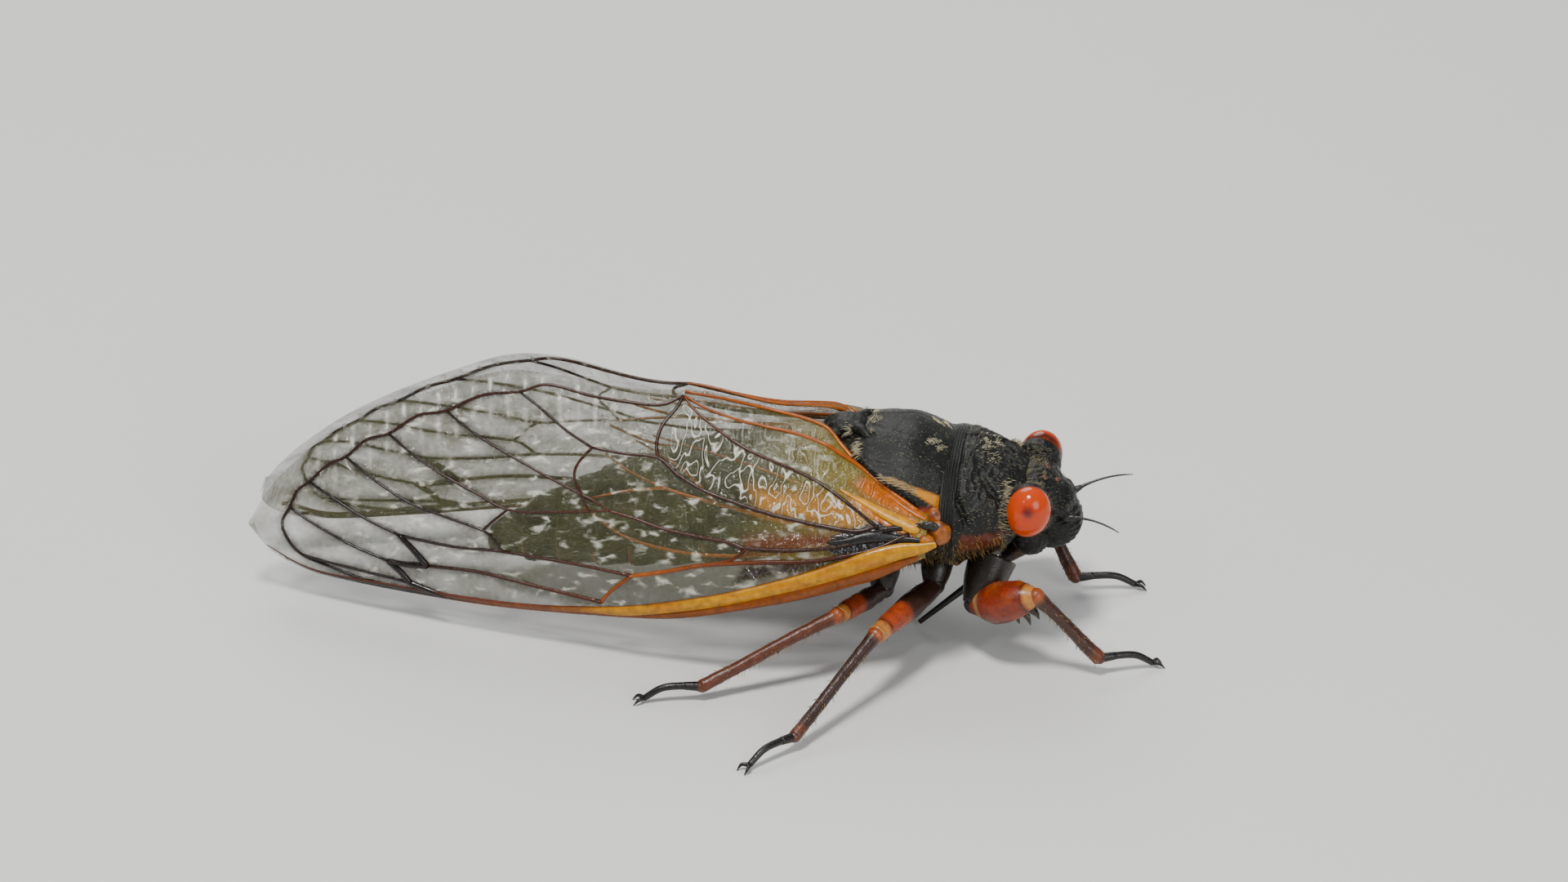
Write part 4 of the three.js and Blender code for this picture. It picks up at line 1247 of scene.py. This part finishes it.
roots = {
    "straps": [  # rows of out, across and half width, then thickness, lift and colour
        (
            [(4.2, 1.5, 0.05), (3.2, 1.02, 0.14), (2.2, 0.52, 0.24), (1.3, 0.08, 0.3), (0.7, -0.2, 0.3),
             (0.35, -0.35, 0.12)],
            0.6, 0.05, (0.66, 0.29, 0.004),
        ),
        (
            [(4.6, -1.05, 0.05), (3.7, -1.0, 0.2), (2.6, -0.72, 0.3), (1.6, -0.72, 0.2), (0.6, -0.78, 0.14),
             (0.1, -0.8, 0.05)],
            0.6, 0.02, (0.006, 0.005, 0.005),
        ),
        ([(2.2, 1.72, 0.06), (1.4, 1.1, 0.14), (0.6, 0.6, 0.18), (0.1, 0.3, 0.1)], 0.7, 0.0, (0.5, 0.12, 0.004)),
    ],
    "lumps": [  # forward, across and lifted from the hinge, then half sizes and colour, the dark knob last
        ((0.25, 0.45, -0.5), (0.62, 0.5, 0.62), (0.36, 0.085, 0.006)),
        ((0.5, -0.25, -0.5), (0.6, 0.42, 0.6), (0.38, 0.1, 0.006)),
        ((-0.05, -0.7, -0.25), (0.42, 0.34, 0.34), (0.5, 0.15, 0.006)),
        ((1.0, 0.3, -0.95), (0.5, 0.5, 0.7), (0.22, 0.04, 0.005)),
        ((0.15, -0.1, 0.1), (0.4, 0.17, 0.24), (0.012, 0.014, 0.012)),
    ],
    "liftWay": (0.72, 0.69), "stain": (0.05, 0.012, 0.006),
}


def rootBall(side, place, size, colour):
    forward, across, lift = place
    outward, upward = roots["liftWay"]
    at = wingPoint(side, 0, across, 0) + np.array([forward, side * outward * lift, upward * lift])
    lump = ball("lump", at, size, 36, 24)
    points = pointsOf(lump)
    dented(lump, 0.35, 0.07)
    stain = ease(grain(points, 0.3, 3), 0.1, 0.5) * 0.7
    return paint(lump, mixed(plain(len(points), colour), roots["stain"], stain))


def makeRoots():
    for name, side in sides.items():
        pieces = []
        for rows, flat, lift, colour in roots["straps"]:
            band, p = strap(side, rows, flat, lift, 8)
            pieces.append(paint(band, plain(len(p), colour)))
        pieces += [rootBall(side, *lump) for lump in roots["lumps"]]
        settle(joined(f"wingRoot_{name}", pieces), limbShell, "leg_orange")


makeRoots()

print("stage: legs")

girths = {
    "front": {"coxa": (1.15, 1.0, 0.6), "femur": (0.5, 1.0, 0.86, 0.42), "tibia": (0.4, 0.3, 0.32, 0.36)},
    "mid": {"coxa": (0.8, 0.7, 0.48), "femur": (0.46, 0.6, 0.52, 0.42), "tibia": (0.36, 0.28, 0.28, 0.3)},
    "hind": {"coxa": (0.9, 0.8, 0.5), "femur": (0.4, 0.5, 0.48, 0.4), "tibia": (0.36, 0.29, 0.29, 0.32)},
}
legs = {  # root, hip, knee and ankle of each leg, and where its toe stands on the floor
    ("front", "right"): (
        (2.8, -1.7, -2.4), (2.1, -3.1, -4.3), (5.1, -4.4, -2.85), (8.1, -4.07, -6.15), (10.55, -3.1),
    ),
    ("front", "left"): (
        (2.8, 1.7, -2.4), (2.1, 3.1, -4.6), (4.3, 5.2, -3.4), (6.24, 3.62, -6.3), (9.1, 4.15),
    ),
    ("mid", "right"): (
        (0.2, -2.0, -2.6), (0.15, -3.0, -3.5), (-2.0, -7.7, -3.6), (-5.1, -12.8, -6.3), (-6.9, -14.8),
    ),
    ("mid", "left"): (
        (0.2, 2.0, -2.6), (0.3, 3.0, -3.5), (1.0, 7.5, -0.9), (-0.6, 11.2, -6.3), (-2.7, 12.9),
    ),
    ("hind", "right"): (
        (-2.4, -1.8, -2.6), (-2.3, -2.6, -4.1), (-4.0, -6.15, -3.6), (-10.0, -8.95, -6.3), (-12.6, -9.6),
    ),
    ("hind", "left"): (
        (-2.4, 1.8, -2.6), (-2.3, 2.6, -4.1), (-4.0, 6.15, -3.6), (-10.0, 8.95, -6.3), (-12.6, 9.6),
    ),
}
legTones = {
    "coxa": (0.014, 0.009, 0.005), "femur": (0.03, 0.011, 0.006), "femurEnd": (0.36, 0.05, 0.01),
    "knee": (0.5, 0.2, 0.04), "kneeRing": (0.03, 0.01, 0.005), "kneeCap": (0.34, 0.07, 0.012),
    "kneeGlow": (0.32, 0.09, 0.02), "ankle": (0.13, 0.03, 0.01), "ankleCap": (0.12, 0.035, 0.015),
    "tarsus": (0.006, 0.005, 0.005), "claw": (0.005, 0.004, 0.004), "spine": (0.12, 0.05, 0.02),
}
frontTones = {
    "femur": (0.24, 0.024, 0.003), "patch": (0.42, 0.08, 0.004), "belly": (0.02, 0.008, 0.005),
    "ring": (0.45, 0.25, 0.08), "shin": (0.42, 0.09, 0.012), "spine": (0.02, 0.01, 0.008),
}
shinTones = {"front": (0.05, 0.014, 0.007), "mid": (0.035, 0.011, 0.006), "hind": (0.11, 0.026, 0.009)}
spines = {
    "thigh": [(0.6, 0.7), (0.78, 0.85), (0.92, 0.6)],  # share of the way to the knee, and length
    "shin": [(0.4, 1), (0.55, -1), (0.7, 1), (0.84, -1), (0.95, 1), (0.95, -1)],  # share, and side
}
floorTouch = {"toe": 0.24, "claw": 0.02}  # how high these middles are over the floor
bristleKinds = {"femur": (34, 0.22), "tibia": (110, 0.34)}  # number and length
bristleLook = {"pale": (0.42, 0.27, 0.11), "dark": (0.06, 0.03, 0.015), "paleShare": 0.8, "width": 0.015}
bristles = []


def toned(obj, colour):
    return paint(obj, plain(len(obj.data.vertices), colour))


def addBristles(part, start, end, girth):
    # pale bristles that stand off a limb and lean to its foot
    count, length = bristleKinds[part]
    along = (end - start) / np.linalg.norm(end - start)
    one = np.cross(along, (0, 0, 1.0))
    one /= np.linalg.norm(one)
    two = np.cross(along, one)
    for _ in range(count):
        share, angle = random.uniform(0.12, 0.97), random.uniform(0, 2 * math.pi)
        out = one * math.cos(angle) + two * math.sin(angle)
        lean = out * 0.75 + along * 0.65
        bristles.append({
            "root": start + (end - start) * share + out * girth * 0.86, "lean": lean / np.linalg.norm(lean),
            "length": length * random.uniform(0.6, 1.2),
            "place": (0.02 + 0.95 * share, 0.02 + 0.95 * angle / 7),
            "colour": bristleLook["pale" if random.random() < bristleLook["paleShare"] else "dark"],
            "width": bristleLook["width"],
        })


def makeThigh(pair, hip, knee, girth):
    sag = -0.08 if pair == "front" else 0.0
    route = [hip, onWay(hip, knee, 0.4, sag), onWay(hip, knee, 0.72), knee]
    femur = tube("femur", [(route, girth)], 20, 14)
    points = pointsOf(femur)
    dented(femur, 0.5, 0.04, 2)
    share = ((points - hip) @ (knee - hip)) / ((knee - hip) @ (knee - hip))
    if pair == "front":
        drop = points[:, 2] - onWay(hip, knee, 0.5)[2]
        patch = ease(grain(points, 0.8, 5), 0.0, 0.5) * 0.7
        colours = mixed(plain(len(points), frontTones["femur"]), frontTones["patch"], patch)
        colours = mixed(colours, frontTones["belly"], (1 - ease(drop, -0.95, -0.45)) * 0.7)
        colours = mixed(colours, frontTones["ring"], (1 - ease(np.abs(share - 0.14), 0.02, 0.06)) * 0.8)
    else:
        colours = mixed(plain(len(points), legTones["femur"]), legTones["femurEnd"], ease(share, 0.5, 0.6))
    colours = mixed(colours, legTones["knee"], ease(share, 0.86, 0.92))
    colours = mixed(colours, legTones["kneeRing"], (1 - ease(np.abs(share - 0.86), 0.008, 0.022)) * 0.8)
    return paint(femur, colours)


def makeShin(pair, name, knee, ankle, girth):
    route = [knee, onWay(knee, ankle, 0.33, 0.06), onWay(knee, ankle, 0.7), ankle]
    tibia = tube("tibia", [(route, girth)], 16, 14)
    dented(tibia, 0.4, 0.025, 8)
    points = pointsOf(tibia)
    toAnkle, toKnee = (np.linalg.norm(points - end, axis=1) for end in (ankle, knee))
    foot = 1 - ease(toAnkle, 0.9 * 0.55, 0.9)
    colours = mixed(plain(len(points), shinTones[pair]), legTones["ankle"], foot)
    if (pair, name) == ("front", "left"):
        colours = mixed(colours, frontTones["shin"], 1 - ease(toKnee, 1.0, 2.0))
    return paint(tibia, mixed(colours, legTones["kneeGlow"], 1 - ease(toKnee, 0.3, 0.55)))


def makeFoot(ankle, toe):
    # two short joints and a long arched one, with a pair of claws
    arch = [ankle, onWay(ankle, toe, 0.3, 0.22), onWay(ankle, toe, 0.68, 0.34), toe]
    foot = tube("foot", [(arch, (0.21, 0.18, 0.17, 0.15)), (arch[:2], (0.24, 0.19))], 12, 8)
    pieces = [toned(foot, legTones["tarsus"])]
    ahead = (toe - ankle) * np.array([1, 1, 0])
    ahead /= np.linalg.norm(ahead)
    beside = np.array([-ahead[1], ahead[0], 0])
    for turn in (-1, 1):
        tip = toe + ahead * 0.52 + beside * 0.26 * turn
        tip[2] = floorLevel + floorTouch["claw"]
        bow = (toe + tip) / 2 + beside * 0.1 * turn + np.array([0, 0, 0.14])
        pieces.append(toned(tube("claw", [([toe, bow, tip], (0.12, 0.085, 0.02))], 8, 5), legTones["claw"]))
    return pieces


def makeSpines(pair, side, hip, knee, ankle):
    # a few under the front thigh, and a row down each of the other shins
    pieces = []
    if pair == "front":
        for share, length in spines["thigh"]:
            start = onWay(hip, knee, share, -0.6)
            tip = start + np.array([0.4, -0.05 * side, -length])
            route = [start, (start + tip) / 2 + np.array([0.06, 0, 0]), tip]
            pieces.append(toned(tube("spine", [(route, (0.26, 0.15, 0.02))], 8, 4), frontTones["spine"]))
    else:
        for share, turn in spines["shin"]:
            start = onWay(knee, ankle, share)
            tip = start + np.array([-0.2 * turn, 0.42 * side * turn, -0.32])
            pieces.append(toned(tube("spine", [([start, tip], (0.08, 0.012))], 6, 3), legTones["spine"]))
    return pieces


def makeLeg(pair, name):
    side, girth = sides[name], girths[pair]
    root, hip, knee, ankle = (np.array(place, float) for place in legs[pair, name][:4])
    toe = np.array([*legs[pair, name][4], floorLevel + floorTouch["toe"]])
    coxa = toned(tube("coxa", [([root, (root + hip) / 2, hip], girth["coxa"])], 16, 8), legTones["coxa"])
    trochanter = ball("trochanter", hip + np.array([0, 0, 0.05]), (0.52, 0.5, 0.48))
    points = pointsOf(trochanter)
    near = 1 - ease(np.linalg.norm(points - onWay(hip, knee, 0.12), axis=1), 0.5 * 0.55, 0.5)
    paint(trochanter, mixed(plain(len(points), legTones["coxa"]), orange, near))
    femur = makeThigh(pair, hip, knee, girth["femur"])
    addBristles("femur", hip, knee, max(girth["femur"][1:3]))
    addBristles("tibia", knee, ankle, girth["tibia"][1])
    kneeCap = toned(ball("kneeCap", knee, (0.41, 0.41, 0.4)), legTones["kneeCap"])
    tibia = makeShin(pair, name, knee, ankle, girth["tibia"])
    ankleCap = toned(ball("ankleCap", ankle, (0.3, 0.3, 0.28)), legTones["ankleCap"])
    pieces = [coxa, trochanter, femur, kneeCap, tibia, ankleCap, *makeFoot(ankle, toe)]
    obj = joined(f"leg_{pair}_{name}", pieces + makeSpines(pair, side, hip, knee, ankle))
    nodes = [f"{pair}_{part}_{name}" for part in ("coxa", "femur", "tibia", "tarsus")]
    settle(obj, limbShell, "leg_orange" if pair == "front" else "leg_brown", *nodes)


for pair, name in legs:
    makeLeg(pair, name)

print("stage: down and bristles")


def pixelOf(points):
    # where points in millimetres fall in the photo, and the way back to the camera
    back, right, up, target = viewAxes(np.array, np.cross)
    rel = points - target
    scale = view["pixelsPerMm"] * view["distance"] / (view["distance"] - rel @ back)
    cx, cy = view["centre"]
    return cx + rel @ right * scale, cy - rel @ up * scale, back


hairShape = [(0, 1, 4, 3), (1, 2, 5, 4), (2, 0, 3, 5), (3, 4, 6), (4, 5, 6), (5, 3, 6), (0, 2, 1)]
hairCorners = 7
hairPatch = 0.0015 * np.array([(0, 0), (1, 0), (2, 0), (0, 1), (1, 1), (2, 1), (1, 2)])


def growHair(name, hairs, slotName):
    # each hair is a thin closed spike with a bend in it, and a small patch of the map at its root's place
    column = {key: np.array([hair[key] for hair in hairs]) for key in hairs[0]}
    starts, leans = column["root"], column["lean"]
    lengths, widths = column["length"][:, None], column["width"][:, None]
    first = np.cross(leans, np.array([0.3, 0.2, 1.0]))
    first /= np.linalg.norm(first, axis=1)[:, None]
    second = np.cross(leans, first)
    corners = []
    for centre, share in ((starts - leans * 0.04, 1.0), (starts + leans * lengths * 0.5, 0.75)):
        for k in range(3):
            angle = k * 2 * math.pi / 3
            corners.append(centre + (first * math.cos(angle) + second * math.sin(angle)) * widths * share)
    droop = np.array([0, 0, -0.12]) * lengths
    corners.append(starts + leans * lengths + droop)
    points = np.stack(corners, axis=1).reshape(-1, 3)
    faces = [tuple(k * hairCorners + c for c in face) for k in range(len(hairs)) for face in hairShape]
    mesh = bpy.data.meshes.new(name)
    mesh.from_pydata(points.tolist(), [], faces)
    obj = bpy.data.objects.new(name, mesh)
    bpy.context.scene.collection.objects.link(obj)
    flat = (column["place"][:, None, :] + hairPatch[None]).reshape(-1, 2)
    corner = np.zeros(len(mesh.loops), int)
    mesh.loops.foreach_get("vertex_index", corner)
    mesh.uv_layers.new(name="OFBake").data.foreach_set("uv", flat[corner].ravel())
    only(obj)
    bpy.ops.object.mode_set(mode="EDIT")
    bpy.ops.mesh.select_all(action="SELECT")
    bpy.ops.mesh.normals_make_consistent(inside=False)
    bpy.ops.object.mode_set(mode="OBJECT")
    paint(obj, np.repeat(column["colour"], hairCorners, axis=0))
    settle(obj, down, slotName)


backEdge = [(-4.3, 2.95, 2.0), (-3.2, 3.2, 2.2), (-2.3, 3.3, 2.25), (-1.4, 3.35, 2.0), (-0.7, 3.4, 1.7)]


def onBackEdge(x, y, z):
    far, _ = nearLine(np.stack([x, y, z], axis=1), backEdge)
    return np.exp(-(far / 0.12) ** 2)


downs = {  # each growth: its skin, where it grows, how many, length, width, lean, share of the normal, colour
    "eyeFringe": (
        "pronotum", lambda x, y, z: (x > 3.1) * (x < 4.05) * (y > 2.0) * (z > -0.5) * (z < 1.9),
        420, 0.34, 0.014, (1.0, 0, 0.25), 0.5, (0.42, 0.37, 0.22),
    ),
    "sideGold": (
        "pronotum", lambda x, y, z: (x < 3.4) * (y > 2.2) * between(z, -2.4, -1.2, -1.0, 0.2),
        300, 0.3, 0.012, (0.25, 0, -0.25), 0.9, (0.42, 0.27, 0.07),
    ),
    "bellyGold": (
        "thorax", lambda x, y, z: (x > -2.6) * (y > 2.0) * (z > -3.0) * (z < -0.5),
        340, 0.34, 0.012, (0.1, 0, -0.35), 0.9, (0.36, 0.24, 0.08),
    ),
    "collarDown": (
        "pronotum", lambda x, y, z: (z > 0.1) * (x > 1.2),
        600, 0.13, 0.009, (-0.9, 0, 0.1), 0.45, (0.36, 0.33, 0.23),
    ),
    "backDown": (
        "thorax", lambda x, y, z: z > 0.5, 900, 0.11, 0.008, (-0.9, 0, 0.1), 0.5, (0.4, 0.38, 0.28),
    ),
    "headDown": ("head", lambda x, y, z: z > -0.6, 500, 0.16, 0.009, (0.2, 0, 0.3), 0.8, (0.34, 0.3, 0.2)),
    "crownDown": (
        "head", lambda x, y, z: (z > 0.8) * (x < 5.0) * (y < 2.0),
        420, 0.24, 0.011, (0.7, 0, 0.2), 0.5, (0.36, 0.31, 0.18),
    ),
    "edgeLine": ("thorax", onBackEdge, 420, 0.3, 0.013, (-0.8, 0, 0.25), 0.35, (0.66, 0.58, 0.36)),
    "ringDown": ("abdomen", lambda x, y, z: x < -6, 1500, 0.2, 0.01, (-1, 0, 0), 0.25, (0.3, 0.26, 0.16)),
}
tufts = [  # by their place in the photo: skin, centre, half width and height, number, length and lean
    ("thorax", (1069, 513), (7, 3), 60, 0.22, (0.5, -0.1, 0.3)),
    ("thorax", (1064, 527), (7, 3), 50, 0.24, (0.3, -0.5, 0.2)),
    ("thorax", (1052, 550), (3, 9), 80, 0.4, (-0.5, -0.3, -0.2)),
    ("cross", (1040, 530), (4, 9), 45, 0.36, (-0.6, -0.3, 0.1)),
    ("cross", (1026, 541), (9, 4), 60, 0.32, (-0.7, -0.2, 0.1)),
    ("abdomen", (1012, 532), (10, 6), 90, 0.3, (-0.7, 0, 0.2)),
    ("thorax", (1143, 541), (7, 2.5), 50, 0.16, (-0.8, 0.1, 0.1)),
    ("thorax", (1153, 549), (5, 3), 40, 0.16, (-0.6, -0.4, 0.1)),
    ("pronotum", (1231, 606), (6, 16), 110, 0.28, (0.8, -0.4, 0.2)),
    ("pronotum", (1215, 560), (9, 6), 36, 0.18, (0.6, -0.2, 0.3)),
    ("pronotum", (1206, 548), (7, 5), 30, 0.16, (0.6, -0.2, 0.3)),
]
tuftLook = {"width": 0.016, "share": 0.4}  # the share of the skin's normal in their lean
bands = {"thorax": 0.0, "pronotum": 0.2, "head": 0.4, "abdomen": 0.6, "cross": 0.8}


def skinPlace(skin, point):
    # the place on an unwrap of the skin's own shape: round the body, and along it in the skin's own band
    reach = skins[skin][0][:, 0]
    turn = math.atan2(point[1], point[2] + 0.5) / (2 * math.pi) + 0.5
    along = (point[0] - reach.min()) / (reach.max() - reach.min())
    return (0.01 + 0.97 * turn, bands[skin] + 0.005 + 0.18 * along)


def hairAt(skin, point, normal, length, width, lean, share, colour):
    way = np.array(lean, float) + np.array([random.uniform(-0.3, 0.3) for _ in range(3)]) + normal * share
    way /= np.linalg.norm(way)
    if way @ normal < 0.15:
        way = way + normal * (0.2 - way @ normal)
        way /= np.linalg.norm(way)
    light = random.uniform(0.7, 1.15)
    return {
        "root": point, "lean": way, "length": length * random.uniform(0.65, 1.2), "width": width,
        "place": skinPlace(skin, point), "colour": tuple(c * light for c in colour),
    }


def picked(weight, count):
    # places on a skin by their weight, and none where all the weights are 0
    return random.choices(range(len(weight)), weights=weight.tolist(), k=count) if weight.any() else []


def makeDown():
    hairs = []
    for skin, where, count, length, width, lean, share, colour in downs.values():
        points, normals = skins[skin]
        for k in picked(np.asarray(where(*sideless(points)), float), count):
            hairs.append(hairAt(skin, points[k], normals[k], length, width, lean, share, colour))
    for skin, centre, half, count, length, lean in tufts:
        points, normals = skins[skin]
        px, py, back = pixelOf(points)
        reach = ((px - centre[0]) / half[0]) ** 2 + ((py - centre[1]) / half[1]) ** 2
        for k in picked(np.exp(-reach * 1.2) * (reach < 3) * (normals @ back > 0.15), count):
            for side in (1, -1):
                point, normal, way = (mirrored(v, side) for v in (points[k], normals[k], lean))
                hairs.append(hairAt(skin, point, normal, length, tuftLook["width"], way, tuftLook["share"], cream))
    growHair("bodyDown", hairs, "cuticle")
    growHair("legBristles", bristles, "leg_brown")


makeDown()
